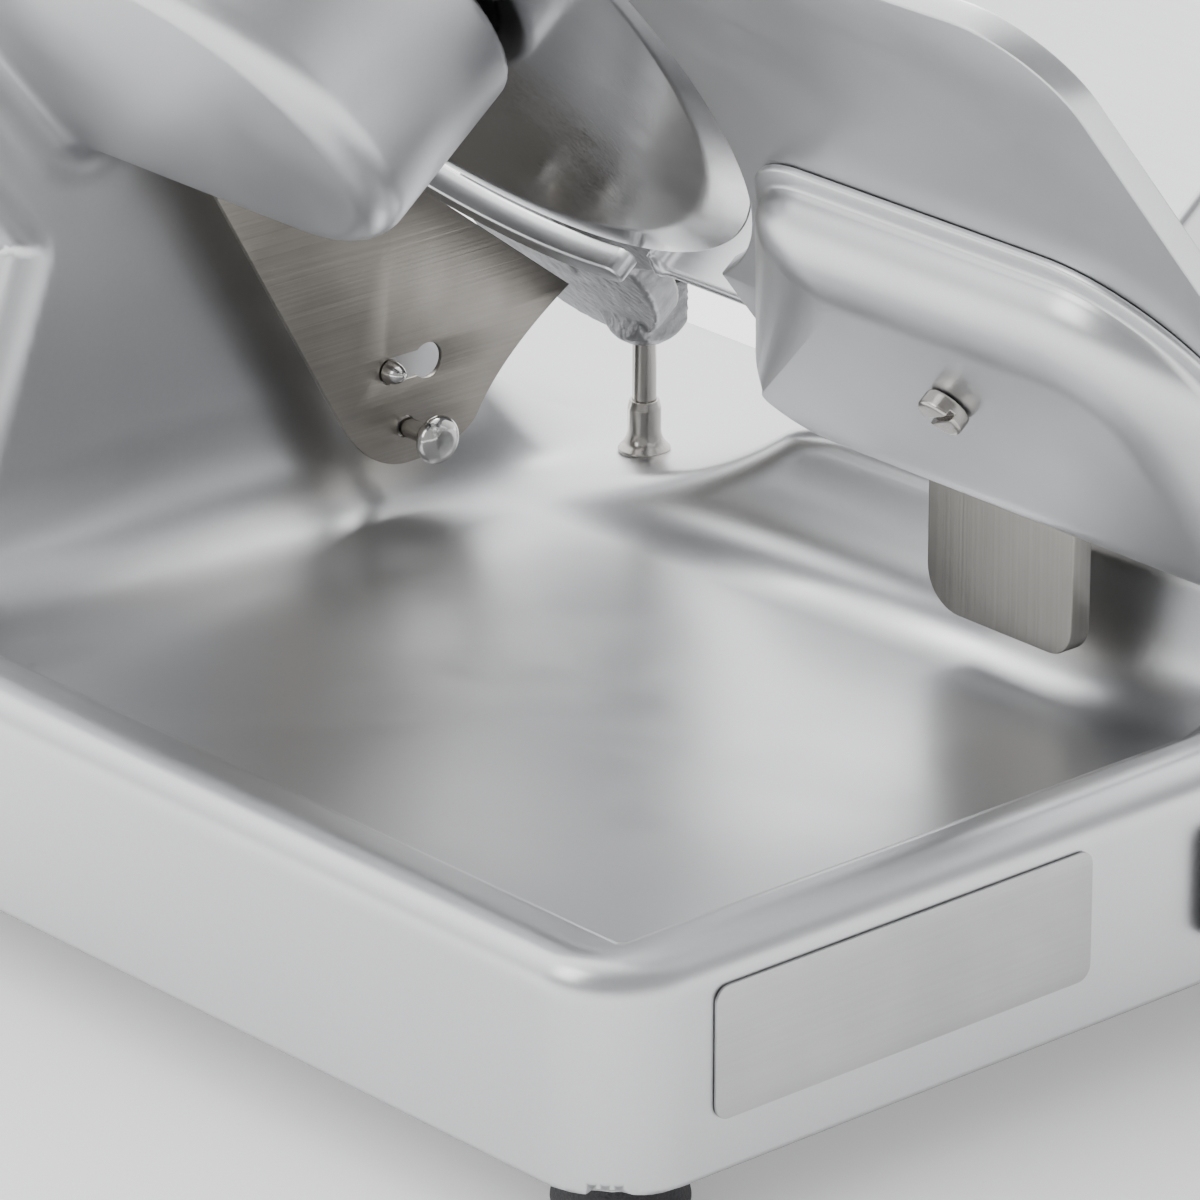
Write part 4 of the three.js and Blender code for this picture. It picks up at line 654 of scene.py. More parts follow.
# ---- Base --------------------------------------------------------------------------------------------
@dataclass
class BaseCasting:
    """One-piece base: rimmed receiving tray, deck, pedestal, leaning column and knife arm."""

    step: float = 2.8
    rim_height: float = 10.0
    rim_run: float = 16.0
    corner: float = 30.0
    column_left: float = 9.0
    column_lean: float = math.radians(20)
    column_thick: float = 120.0
    column_top: float = 410.0
    neck: float = 100.0
    arm_radius: float = 68.0
    arm_depth: float = 65.0
    pedestal_height: float = 46.0
    wall_fillet: float = 46.0
    pedestal_fillet: float = 34.0

    def column_corners(self) -> list[tuple[float, float]]:
        """Column's outline in the front view: left slope, knife face, top and the back of its neck."""
        lean, side = math.tan(LEAN), math.tan(self.column_lean)
        low = -20.0
        face = COLUMN_FACE / math.cos(LEAN)
        back = (COLUMN_FACE - self.neck) / math.cos(LEAN)
        meet = (KNIFE_X + back - self.column_left) / (side + lean)
        return [
            (self.column_left + low * side, low),
            (KNIFE_X + face - low * lean, low),
            slope_point(self.column_top, COLUMN_FACE),
            slope_point(self.column_top, COLUMN_FACE - self.neck),
            (self.column_left + meet * side, meet),
        ]

    def field(self, x: Array, y: Array, z: Array) -> Array:
        """Base's field: rimmed slab, joined by fillets to the pedestal and the column with its arm."""
        pocket = np.maximum(-x, TRAY_FRONT_EDGE - y)
        ramp = np.clip((pocket + self.rim_run * 0.72) / self.rim_run, 0, 1)
        top = self.rim_height * ramp * ramp * (3 - 2 * ramp)
        top = top + self.deck_rise(x, y)
        side = box_field((x, y, z * 0), (BASE_LEFT, BASE_FRONT, -500), (BASE_RIGHT, BASE_BACK, 500), self.corner)
        slab = blend_max(side, z - top, 13.0)
        slab = blend_max(slab, BASE_LOW - z, 3.0)
        plan = outline_field(x, y, [(250, -40), (390, -40), (390, -348), (262, -348)])
        block = raised(plan, z, -30, self.pedestal_height, 9.0)
        slope = (z * 66 + (y + 68) * self.pedestal_height) / math.hypot(66, self.pedestal_height)
        block = blend_max(block, slope, 14.0)
        whole = blend_min(slab, block, self.pedestal_fillet)
        rounds = (0.0, 0.0, 9.0, 23.0, 0.0)
        corners = [(u, v, r) for (u, v), r in zip(self.column_corners(), rounds)]
        column = outline_field(x, z, rounded(corners, 5))
        column = raised(column, y, 0.0, self.column_thick, 13.0)
        rise, out = knife_axes(x, z)
        reach = np.maximum(y - 30.0, 0) + np.minimum(y - KNIFE_ALONG, 0)
        arm = np.sqrt(reach**2 + (rise - KNIFE_RISE) ** 2) - self.arm_radius
        arm = raised(arm, out, COLUMN_FACE - self.arm_depth, COLUMN_FACE + 30, 12.0)
        upper = blend_max(blend_min(column, arm, 16.0), out - COLUMN_FACE, 3.0)
        whole = blend_min(whole, upper, self.wall_fillet)
        whole = np.maximum(whole, side - np.maximum(z - 60.0, 0) * 4)
        whole = np.maximum(whole, BASE_LOW - z)
        return self.openings(whole, x, y, z, rise, out)

    def deck_rise(self, x: Array, y: Array) -> Array:
        """The deck beyond the column's right side falls away gently from a soft line across the floor."""
        across = (x - 205.0) * 0.80 + (y + 20.0) * 0.60
        soft = np.logaddexp(0, across / 7.0) * 7.0
        return -0.035 * np.minimum(soft, 170.0)

    def openings(self, whole: Array, x: Array, y: Array, z: Array, rise: Array, out: Array) -> Array:
        """Cuts the slot, the cam's room, the index shaft's way, the bottom cover's seat and the carrier's bore."""
        p = (x, y, z)
        slot = box_field(p, (277, -265, -20), (319, -235, 90), 4.0)
        room = box_field(p, (274, -334, BASE_LOW + 4), (380, -150, 38), 6.0)
        shaft = rod_field((x - 334.5, z + 24, y), 7.0, -400, -300, 0.5)
        seat = box_field(p, (BASE_LEFT + 5, BASE_FRONT + 5, BASE_LOW - 40),
                         (BASE_RIGHT - 5, BASE_BACK - 5, BASE_LOW + 2.3), 2.0)
        carrier = rod_field((y - KNIFE_ALONG, rise - KNIFE_RISE, out), 56.5, COLUMN_FACE - 3, 60, 0.3)
        for hollow in (slot, room, shaft, seat, carrier):
            whole = np.maximum(whole, -hollow)
        return whole

    def build(self, shop: Workshop) -> None:
        """Makes the casting and puts it on the base body."""
        low = (-60.0, BASE_FRONT, BASE_LOW)
        high = (BASE_RIGHT, BASE_BACK, 326.0)
        piece = cast("base_skin", self.field, low, high, self.step, upright_frame(0, 0), shop)
        shop.mount(piece, "base", *CAST, "base_casting")


# ---- Slice deflector and its plungers ------------------------------------------------------------------
@dataclass
class Deflector:
    """Flat steel sheet with a keyhole, held by a locating pin and a sprung mushroom knob."""

    back: float = -20.0
    thick: float = 1.8
    pin: tuple[float, float] = (180.0, 49.5)
    knob: tuple[float, float] = (186.5, 29.0)
    run: float = 16.0

    def outline(self) -> Array:
        """Sheet's outline: a leaning left edge, a rounded tip, and a wavy right edge up to the knife."""
        foot = KNIFE_X
        t = np.linspace(0, 1, 26)[:, None]

        def bend(a: Sequence[float], b: Sequence[float], c: Sequence[float]) -> Array:
            a, b, c = (np.array(point, float) for point in (a, b, c))
            return (1 - t) ** 2 * a + 2 * t * (1 - t) * b + t**2 * c

        low_left = bend((foot - 102, 35.5), (foot - 91, 17), (foot - 75, 16.3))
        low_right = bend((foot - 75, 16.3), (foot - 54, 16), (foot - 45.5, 25))
        sweep = bend((foot - 45.5, 25), (foot - 35, 43), (foot - 5, 61))
        rest = np.array([(foot - 79, 117), (foot - 102, 127), (foot - 140, 164), (foot - 160, 139)], float)
        return np.concatenate([low_left, low_right[1:], sweep[1:], rest])

    def keyhole(self) -> Array:
        """Slot as wide as the pin that ends in a larger hole."""
        x, z = self.pin
        half, large = 4.4, 6.0
        reach = math.degrees(math.asin(half / large))
        left = arc(x, z, half, 90, 270)
        right = arc(x + self.run, z, large, reach - 180, 180 - reach, 32)
        return np.concatenate([left, right])

    def build(self, shop: Workshop) -> None:
        """Makes the sheet, the pin and the knob."""
        stem = arc(*self.knob, 3.7, 0, 345, 24)
        place = front_frame(self.back)
        sheet = plate("deflector_sheet", [self.outline(), self.keyhole(), stem], 0.0, self.thick, 0.3, place, shop)
        shop.mount(sheet, "base", "brushed_steel", "brushed_warm", "slice_deflector")
        tip = -self.back + self.thick + 7
        pin = rounded_profile([(0, GAP), (4, GAP), (4, tip - 6, 1.0), (3.1, tip - 2.4, 2.2), (1.2, tip), (0, tip)])
        shop.lathe("pin_turned", pin, front_frame(0, *self.pin), 48, "base", *POLISHED, "locating_pin")
        head = -self.back + self.thick + 13
        knob = rounded_profile([(0, GAP), (3.2, GAP), (3.2, head - 3.4, 0.6), (4.1, head - 2.6, 0.4),
                                (4.1, head, 0.3), (6.75, head, 1.4), (8.25, head + 1.9, 1.6),
                                (7.9, head + 4.6, 2.2), (4.6, head + 6.8, 2.4), (0, head + 7.2)], 8)
        place = front_frame(0, *self.knob)
        shop.lathe("mushroom_knob", knob, place, 72, "deflector_plunger", *POLISHED, "deflector_knob")


# ---- Gauge plate and its hull ---------------------------------------------------------------------------
@dataclass
class Gauge:
    """Thickness plate, the domed hull on its back, the hull's screw and the shield that hangs below."""

    face: float = KNIFE_FACE + 0.4
    thick: float = 8.0
    hull_front: float = -437.0
    hull_back: float = -188.0
    hull_top_back: float = -275.0
    hull_low: float = 112.0
    hull_high: float = 250.0
    hull_depth: float = 22.0
    hull_round: float = 28.0
    flange: float = 8.0
    ring_steps: int = 20  # points in each of the hull outline's four corners

    def outline(self) -> Array:
        """Plate's outline: three straight sides and an arc beside the knife."""
        radius = KNIFE_RADIUS + 5
        low_angle = math.degrees(math.atan2(-math.sqrt(radius**2 - 88.0**2), -88.0))
        high_angle = math.degrees(math.asin((375 - KNIFE_RISE) / radius))
        edge = arc(KNIFE_ALONG, KNIFE_RISE, radius, low_angle + 360, 180 - high_angle, 60)
        front = [arc(-428, 343, 32, 90, 180, 14), arc(-428, 132, 32, 180, 270, 14)]
        return np.concatenate([edge, *front, arc(-210, 110, 10, 270, 360, 8)])

    def ring(self, inset: float, outward: float) -> Array:
        """Hull's outline drawn inwards by the inset, its front and top drawn outwards by the flange."""
        front, high = self.hull_front + inset - outward, self.hull_high - inset + outward
        low, back, top_back = self.hull_low + inset, self.hull_back - inset, self.hull_top_back - inset
        nose, corner = max(44 - inset + outward, 4), max(32 - inset, 4)
        corners = [(front, low, nose), (back, low, corner), (top_back, high, corner), (front, high, nose)]
        return rounded(corners, self.ring_steps)

    def hull(self) -> tuple[Array, Array]:
        """Dome over the outline: each ring is the outline inset by round (1 - cos a), at depth sin a.

        Returns:
            Points and faces of the closed hull in the knife frame, its seat towards the plate.
        """
        seat = self.face - self.thick - GAP
        angle = np.linspace(0, np.pi / 2, 15)
        levels = [(3.0, 0.0, seat), (0.4, self.flange, seat), (0.0, self.flange, seat - 0.5)]
        levels += [(0.0, self.flange, seat - 1.6), (0.8, self.flange, seat - 2.4), (0.0, 1.6, seat - 2.6)]
        levels += [(0.0, 0.5, seat - 3.2)]
        lift = 3.6
        depth = self.hull_depth - lift
        for a in angle:
            levels.append((self.hull_round * (1 - math.cos(a)), 0.0, seat - lift - depth * math.sin(a)))
        count = 4 * self.ring_steps
        rings = [np.column_stack([self.ring(inset, out), np.full(count, w)]) for inset, out, w in levels]
        points = np.concatenate(rings)
        quads = grid_faces(len(rings), count)[:, ::-1]
        ends = [list(range(count)), list(range((len(rings) - 1) * count, len(rings) * count))[::-1]]
        return points, quads.tolist() + ends

    def screw(self, x: Array, y: Array, z: Array) -> Array:
        """Screw's field: a head with a rounded rim and a straight slot across it."""
        head = rod_field((x, y, z), 7.5, -6.0, 0.0, 1.3)
        turn = math.radians(62)
        across = x * math.cos(turn) + y * math.sin(turn)
        along = -x * math.sin(turn) + y * math.cos(turn)
        slot = box_field((across, along, z), (-0.95, -20, -12), (0.95, 20, -3.6), 0.1)
        return blend_max(head, -slot, 0.4)

    def build(self, shop: Workshop) -> None:
        """Makes the pieces that move with the gauge."""
        place = knife_frame()
        piece = plate("gauge_panel", [self.outline()], self.face - self.thick, self.face, 0.9, place, shop)
        shop.mount(piece, "gauge", *CAST, "gauge_plate")
        points, faces = self.hull()
        piece = shop.mesh("hull_shell", place.lift(points), faces)
        Flattener(piece, math.radians(50)).outwards()
        shop.mount(piece, "gauge", *CAST, "gauge_hull")
        seat = self.face - self.thick - GAP - self.hull_depth - GAP
        lifted = knife_frame(self.hull_front + 105, self.hull_low + 78, seat)
        piece = cast("slotted_screw", self.screw, (-7.5, -7.5, -6), (7.5, 7.5, 0), 0.4, lifted, shop)
        shop.mount(piece, "gauge", "polished_steel", "pin_steel", "hull_screw")
        low, high = 14.5, 61.0
        shield = rounded([(-282, high), (-282, low, 10), (-218, low, 14), (-218, high)], 12)
        piece = plate("shield_plate", [shield], 0.0, 8.0, 0.7, side_frame(232), shop)
        shop.mount(piece, "gauge", "brushed_steel", "brushed_plain", "slot_shield")
        work = upright_frame(0, 0)
        piece = cast("bracket_cast", self.bracket, (195, -275, -10), (316, -225, 92), 1.7, work, shop)
        shop.mount(piece, "gauge", *ROUGH, "gauge_bracket")

    def bracket(self, x: Array, y: Array, z: Array) -> Array:
        """Bracket's field: a beam over the pedestal, a web up to the plate and a leg down to the cam."""
        seat = 3.6
        low, high = 61.3, 78.3
        foot = KNIFE_X + seat / math.cos(LEAN) - high * math.tan(LEAN)
        top, behind = slope_point(111, seat), slope_point(111, seat - 9)
        corners = [(316, low), (316, high), (foot, high), top, behind, (foot - 4, high - 3), (foot + 24, low)]
        beam = raised(outline_field(x, z, corners), y, -275, -225, 1.6)
        leg = box_field((x, y, z), (296, -262, -10), (316, -238, 64), 1.2)
        bore_u = UP_SLOPE[0] * (x - 306) + UP_SLOPE[2] * (z - 12)
        bore = round_field(bore_u, y + 250, 7.3)
        return np.maximum(blend_min(beam, leg, 5.0), -bore)


# ---- Product tray, pusher and latch ---------------------------------------------------------------------
@dataclass
class ProductTray:
    """Tilting tray with its arm and handle, the toothed pusher and the spring latch below the tray."""

    near: float = 16.0
    length: float = 285.0
    floor: float = 128.0
    sheet: float = 4.0
    front: float = -440.0
    back: float = -130.0
    hinge: tuple[float, float] = (-112.0, 140.0)  # pusher rod's axis in the knife frame
    hinge_bore: float = 8.3
    disc: tuple[float, float] = (-22.0, 64.0)  # middle of the latch bracket's round plate, along and up
    disc_radius: float = 41.0
    disc_low: float = 36.0
    disc_high: float = 49.0
    boss: tuple[float, float] = (279.0, -34.0)
    boss_low: float = 38.5
    boss_reach: float = 14.6  # from the boss's axis to a corner
    bowl: float = 16.0  # radius of the boss's bowl-shaped end
    boss_turn: float = math.radians(-139)  # direction of one of the boss's corners, in plan
    grip: tuple[float, float] = (-20.0, 72.0)

    def tray(self, x: Array, y: Array, z: Array) -> Array:
        """Tray's field in the knife frame: floor, back lip and front wall, with a fillet between them."""
        far = self.near + self.length
        p, under = (x, y, z), self.floor - self.sheet
        floor = box_field(p, (self.front, under, self.near), (self.back, self.floor, far), 1.5)
        lip = box_field(p, (self.back - 4, under, self.near), (self.back, self.floor + 6, far), 1.5)
        corners = [(under, self.near), (270, self.near), (270, far - 62), (262, far - 48), (under, far)]
        wall = raised(outline_field(y, z, corners), x, self.front, self.front + self.sheet, 1.5)
        return blend_min(blend_min(floor, wall, 14.0), lip, 4.0)

    def arm(self, x: Array, y: Array, z: Array) -> Array:
        """Arm's field in the work frame: pivot eye, bent strut and the pad under the tray."""
        q = y - ARM_Y
        eye = rod_field((x - RAIL_X, z - PIVOT_Z, q), 13.5, -12, 12, 1.0)
        seat = self.floor - self.sheet - GAP
        bend = PIVOT_Z + 48
        corners = [(RAIL_X - 9, PIVOT_Z - 2), (RAIL_X + 11, PIVOT_Z - 2), (RAIL_X + 11, bend),
                   slope_point(seat - 5, 165), slope_point(seat - 5, 120), (RAIL_X - 9, bend - 8)]
        strut = raised(outline_field(x, z, corners) + 1.0, q, -12, 12, 3.0)
        rise, out = knife_axes(x, z)
        pad = box_field((q, rise, out), (-45, seat - 8, 85), (45, seat, 200), 2.0)
        whole = blend_min(blend_min(eye, strut, 8.0), pad, 10.0)
        whole = np.maximum(whole, np.maximum(rise - seat, np.abs(q) - 45))
        near_pivot = round_field(x - RAIL_X, z - PIVOT_Z, 30)
        whole = np.where(near_pivot < 0, np.maximum(whole, np.abs(q) - 12.0), whole)
        return np.maximum(whole, -round_field(x - RAIL_X, z - PIVOT_Z, 5.3))

    def latch(self, x: Array, y: Array, z: Array) -> Array:
        """Latch bracket's field: a round plate, a web to the tray and a square boss with a bowl-shaped end."""
        rise, out = knife_axes(x, z)
        seat = self.floor - self.sheet - GAP
        plan = round_field(y - self.disc[0], rise - self.disc[1], self.disc_radius)
        disc = raised(plan, out, self.disc_low, self.disc_high, 2.2)
        corners = [(-170, seat), (-170, seat - 14), (-60, 72), (-32, 100), (-116, seat)]
        web = raised(outline_field(y, rise, corners), out, self.disc_low, self.disc_high, 1.5)
        bx, by = x - self.boss[0], y - self.boss[1]
        c, s = math.cos(self.boss_turn), math.sin(self.boss_turn)
        sides = (np.abs(bx * c + by * s) + np.abs(by * c - bx * s) - self.boss_reach) * math.sqrt(0.5)
        bowl = np.sqrt(bx**2 + by**2 + np.minimum(z - self.boss_low - self.bowl, 0) ** 2) - self.bowl
        lobe = blend_max(blend_max(sides, bowl, 1.0), z - self.boss_low - 23.0, 1.5)
        whole = blend_min(blend_min(disc, web, 6.0), lobe, 1.2)
        whole = whole + 0.12 * np.sin(x * 0.9) * np.sin(y * 1.1 + 1) * np.sin(z * 1.0 + 2)
        whole = np.maximum(whole, rise - seat)
        bore = rod_field((bx, by, z), 4.4, 25, self.boss_low + 16.5, 0.1)
        return np.maximum(whole, -bore)

    def grip_plate(self, x: Array, y: Array, z: Array) -> Array:
        """Grip's field: a round plate with rows of four-sided teeth towards the knife."""
        disc = rod_field((x, y, z), 47, 0, 8, 2.0)
        pitch, width, height = 16.0, 7.0, 6.5
        column = np.mod(x + pitch / 2, pitch) - pitch / 2
        row = np.mod(y + pitch / 2, pitch) - pitch / 2
        near = (np.hypot(x - column, y - row) < 2.3 * pitch + 0.5)
        cone = (np.maximum(np.abs(column), np.abs(row)) - width * (1 + z / height)) * 0.68
        cone = np.maximum(cone, z - 2.0)
        teeth = np.where(near, cone, 5.0)
        return blend_min(disc, teeth, 1.2)

    def pusher_arm(self, x: Array, y: Array, z: Array) -> Array:
        """Pusher arm's field: a hub on the slide rod and a flat reach to the grip."""
        u, v = x - self.hinge[0], y - self.hinge[1]
        hub = rod_field((u, v, z), 16, 52, 92, 2.0)
        corners = [(-120, 130), (-106, 156), (4, 78), (6, 66), (-4, 50), (-16, 54)]
        reach = raised(outline_field(x, y, corners) + 1.0, z, 70.3, 82.3, 2.5)
        return np.maximum(blend_min(hub, reach, 7.0), -round_field(u, v, self.hinge_bore))

    def holder(self, x: Array, y: Array, z: Array, low: float, high: float) -> Array:
        """Rod holder's field: a rounded ear on the tray's back edge with a bore."""
        corners = [(-129.5, 127.3), (-99, 127.3), (-99, 153), (-129.5, 149)]
        ear = raised(outline_field(x, y, corners), z, low, high, 2.0)
        u, v = x - self.hinge[0], y - self.hinge[1]
        round_ear = rod_field((u, v, z), 13, low, high, 1.5)
        ear = np.maximum(ear, np.where(x > self.hinge[0], round_ear, -1e3))
        return np.maximum(ear, -round_field(u, v, self.hinge_bore))

    def build(self, shop: Workshop) -> None:
        """Makes the pieces of the carriage's upper part."""
        knife, work = knife_frame(), upright_frame(0, 0)
        far = self.near + self.length
        low, high = (self.front, self.floor - self.sheet, self.near), (self.back, 270, far)
        piece = cast("tray_sheet", self.tray, low, high, 2.3, knife, shop)
        shop.mount(piece, "tray", "satin_aluminium", "sheet_satin", "product_tray")
        piece = cast("tray_arm_cast", self.arm, (250, ARM_Y - 45, 10), (430, ARM_Y + 45, 226), 2.0, work, shop)
        shop.mount(piece, "tray", *CAST, "tray_arm")
        piece = cast("latch_cast", self.latch, (210, -172, 33), (298, 24, 130), 1.15, work, shop)
        shop.mount(piece, "tray", *ROUGH, "latch_bracket")
        lifted = knife_frame(*self.grip, 62)
        piece = cast("grip_cast", self.grip_plate, (-47, -47, -6.6), (47, 47, 8), 0.9, lifted, shop)
        shop.mount(piece, "pusher", *ROUGH, "pusher_grip")
        piece = cast("pusher_arm_cast", self.pusher_arm, (-128, 46, 52), (8, 158, 92), 1.4, knife, shop)
        shop.mount(piece, "pusher", *CAST, "pusher_arm")
        for name, low, high in (("near", 21.0, 51.0), ("far", 285.0, 297.0)):
            field = lambda x, y, z, a=low, b=high: self.holder(x, y, z, a, b)
            piece = cast(f"holder_{name}_cast", field, (-130, 127, low), (-99, 153, high), 1.2, knife, shop)
            shop.mount(piece, "tray", *CAST, f"rod_holder_{name}")
        self.turned_pieces(shop)

    def turned_pieces(self, shop: Workshop) -> None:
        """Makes the handle, the pusher's rod and knob, and the latch's rod with its flared sleeve."""
        side, up = slope_point(self.floor + 44, self.near + self.length / 2 + 7.5)
        handle = rounded_profile([(0, 0), (8, 0, 0.6), (8, 12, 2), (13, 21, 6), (15, 48, 14), (14, 84, 8),
                                  (8.5, 96, 5), (0, 97)], 8)
        place = front_frame(self.front - GAP, side, up)
        shop.lathe("handle_turned", handle, place, 48, "tray", *BLACK, "tray_handle")
        rod = rounded_profile([(0, 19), (8, 19, 0.8), (8, 299, 0.8), (0, 299)])
        shop.lathe("slide_rod", rod, knife_frame(*self.hinge), 40, "pusher_pivot", *POLISHED, "pusher_rod")
        knob = rounded_profile([(0, 0), (6, 0, 0.5), (6, 8, 1.5), (14, 16, 5), (17, 28, 8), (13, 39.5, 6),
                                (0, 43)], 8) + np.array([0, 82.6])
        shop.lathe("pusher_ball", knob, knife_frame(-62, 103), 56, "pusher", *BLACK, "pusher_knob")
        place, seat = upright_frame(*self.boss), ("latch", "polished_steel", "pin_steel")
        rod = rounded_profile([(0, 4), (4, 4, 0.3), (4, 48.5, 0.4), (0, 48.5)])
        shop.lathe("latch_rod", rod, place, 40, *seat, "pull_rod")
        sleeve = rounded_profile([(0, 3.6), (4.2, 3.6, 0.3), (7.0, 1.4, 1), (7.9, 1.0, 0.4), (8.8, 1.3, 0.4),
                                  (8.8, 2.0, 0.3), (6.6, 4.4, 2.2), (5.6, 7.2, 1.6), (5.6, 16.0, 0.3),
                                  (4.9, 19.0, 0.3), (4.05, 19.0, 0.2), (4.05, 18.9), (0, 18.9)], 7)
        shop.lathe("flared_sleeve", sleeve, place, 64, *seat, "pull_sleeve")


# ---- Knife, guard, cover and sharpener ------------------------------------------------------------------
@dataclass
class KnifeHead:
    """Round knife with its guard and cover, the cover's lock and the two-stone sharpener above."""

    stone_y: float = -45.0
    stone_rise: float = 444.17

    def disc(self) -> Array:
        """Knife's profile: flat back with a ground bevel, flat face, and a bright edge."""
        return rounded_profile([(0, KNIFE_BACK + 0.3), (136, KNIFE_BACK + 0.3, 2),
                                (149.6, KNIFE_FACE - 0.5, 0.2), (150, KNIFE_FACE - 0.2, 0.1),
                                (149.6, KNIFE_FACE, 0.1), (146, KNIFE_FACE, 0.5), (144, KNIFE_FACE - 0.35, 0.5),
                                (60, KNIFE_FACE - 0.35, 2), (0, KNIFE_FACE - 0.35)], 5)

    def guard_outline(self) -> Array:
        """Guard's outline: two arcs about the knife's axis with rounded ends."""
        inner, outer = KNIFE_RADIUS + 4, KNIFE_RADIUS + 12
        middle, half = (inner + outer) / 2, (outer - inner) / 2 - 0.05

        def end(angle: float, way: float) -> Array:
            x, y = middle * math.cos(math.radians(angle)), middle * math.sin(math.radians(angle))
            return arc(x, y, half, angle + (0 if way > 0 else 180), angle + (180 if way > 0 else 360), 9)

        first, last = -96.6, 36.6
        return np.concatenate([arc(0, 0, outer, first, last, 90), end(last, 1),
                               arc(0, 0, inner, last, first, 90), end(first, -1)])

    def cover(self, x: Array, y: Array, z: Array) -> Array:
        """Cover's field: a disc with a sloping rim, a shallow raised ring and an ear with a foot."""
        low = KNIFE_FACE + 1
        radius = np.sqrt(x**2 + y**2)
        top = low + 3 - 0.9 * np.clip((radius - 84) / 6, 0, 1) + 0.9 * np.clip((radius - 98) / 6, 0, 1)
        disc = blend_max(blend_max(radius - 112, z - top, 1.2), low - z, 0.4)
        ear = outline_field(x, y, [(60, 49), (60, 19), (202, 19), (202, 49)])
        round_end = np.sqrt(np.maximum(x - 187, 0) ** 2 + (y - 34) ** 2) - 14.8
        ear = raised(np.maximum(ear, round_end), z, low, low + 2.8, 0.8)
        foot = rod_field((x - 187, y - 34, z), 8, COLUMN_FACE + GAP, low + 1, 0.5)
        hole = rod_field((x - 187, y - 34, z), 5, -5, 60, 0.1)
        return np.maximum(blend_min(blend_min(disc, ear, 1.5), foot, 1.0), -hole)

    def sharpener(self, x: Array, y: Array, z: Array) -> Array:
        """Sharpener's field in the knife frame: a bridge over the knife's edge on a mount behind it."""
        low, roof = self.stone_rise - 12, self.stone_rise + 24
        corners = [(low, -32), (roof + 26, -32), (roof + 26, 41.5), (low, 41.5), (low, 27.5), (roof, 27.5),
                   (roof, -18), (low, -18)]
        rounds = (0.0, 15.0, 15.0, 0.0, 0.0, 0.0, 0.0, 0.0)
        outline = rounded([(v, w, r) for (v, w), r in zip(corners, rounds)], 5)
        hood = raised(outline_field(y, z, outline), x, -75, -15, 4.0)
        mount = box_field((x, y, z), (-19, 410.4, -32), (70, self.stone_rise + 16, -18), 2.5)
        way = round_field(x - self.stone_y, y - self.stone_rise, 5.4)
        return np.maximum(blend_min(hood, mount, 6.0), -way)

    def press_rod(self, inner: float, outer: float) -> Array:
        """Profile of a push rod from the stone's spigot to its button."""
        way = 1 if outer > inner else -1
        corners = [(0, inner - way * 9.5), (3, inner - way * 9.5, 0.4), (3, inner, 0.2), (5, inner, 0.4),
                   (5, outer - way, 0.5), (10, outer - way, 1.2), (10, outer + way * 8.8, 2.0),
                   (0, outer + way * 9)]
        profile = rounded_profile(corners, 6)
        return profile if way > 0 else profile[::-1]

    def build(self, shop: Workshop) -> None:
        """Makes the knife's side of the machine."""
        hub = knife_frame(KNIFE_ALONG, KNIFE_RISE)
        shop.lathe("knife_disc", self.disc(), hub, 192, "knife_set", "polished_steel", "knife_steel", "knife")
        piece = plate("guard_ring", [self.guard_outline()], COLUMN_FACE + GAP, COLUMN_FACE + GAP + 9, 1.4, hub, shop)
        shop.mount(piece, "base", *CAST, "knife_guard")
        piece = cast("cover_disc", self.cover, (-112, -112, 3), (202, 112, 16), 1.9, hub, shop)
        shop.mount(piece, "base", "satin_aluminium", "sheet_satin", "knife_cover")
        top = KNIFE_FACE + 4.3
        lock = rounded_profile([(0, KNIFE_FACE + 1), (4.6, KNIFE_FACE + 1), (4.6, top), (13.3, top, 1.2),
                                (13.6, top + 15, 2.5), (6, top + 16, 1), (0, top + 15.6)], 6)
        place = knife_frame(KNIFE_ALONG + 187, KNIFE_RISE + 34)
        shop.lathe("lock_knob", lock, place, 96, "cover_lock", *BLACK, "cover_knob", lobes=6, depth=0.08)
        piece = cast("sharpener_cast", self.sharpener, (-75, 410, -32), (70, 495, 42), 1.7, knife_frame(), shop)
        shop.mount(piece, "base", *CAST, "sharpener_body")
        place = knife_frame(self.stone_y, self.stone_rise)
        rods = (("grinding", "grind_plunger", -9.0, -43.0), ("truing", "true_plunger", 24.0, 48.5))
        for name, body, inner, outer in rods:
            rod = self.press_rod(inner, outer)
            shop.lathe(f"{name}_plunger", rod, place, 48, body, *POLISHED, f"{name}_rod")


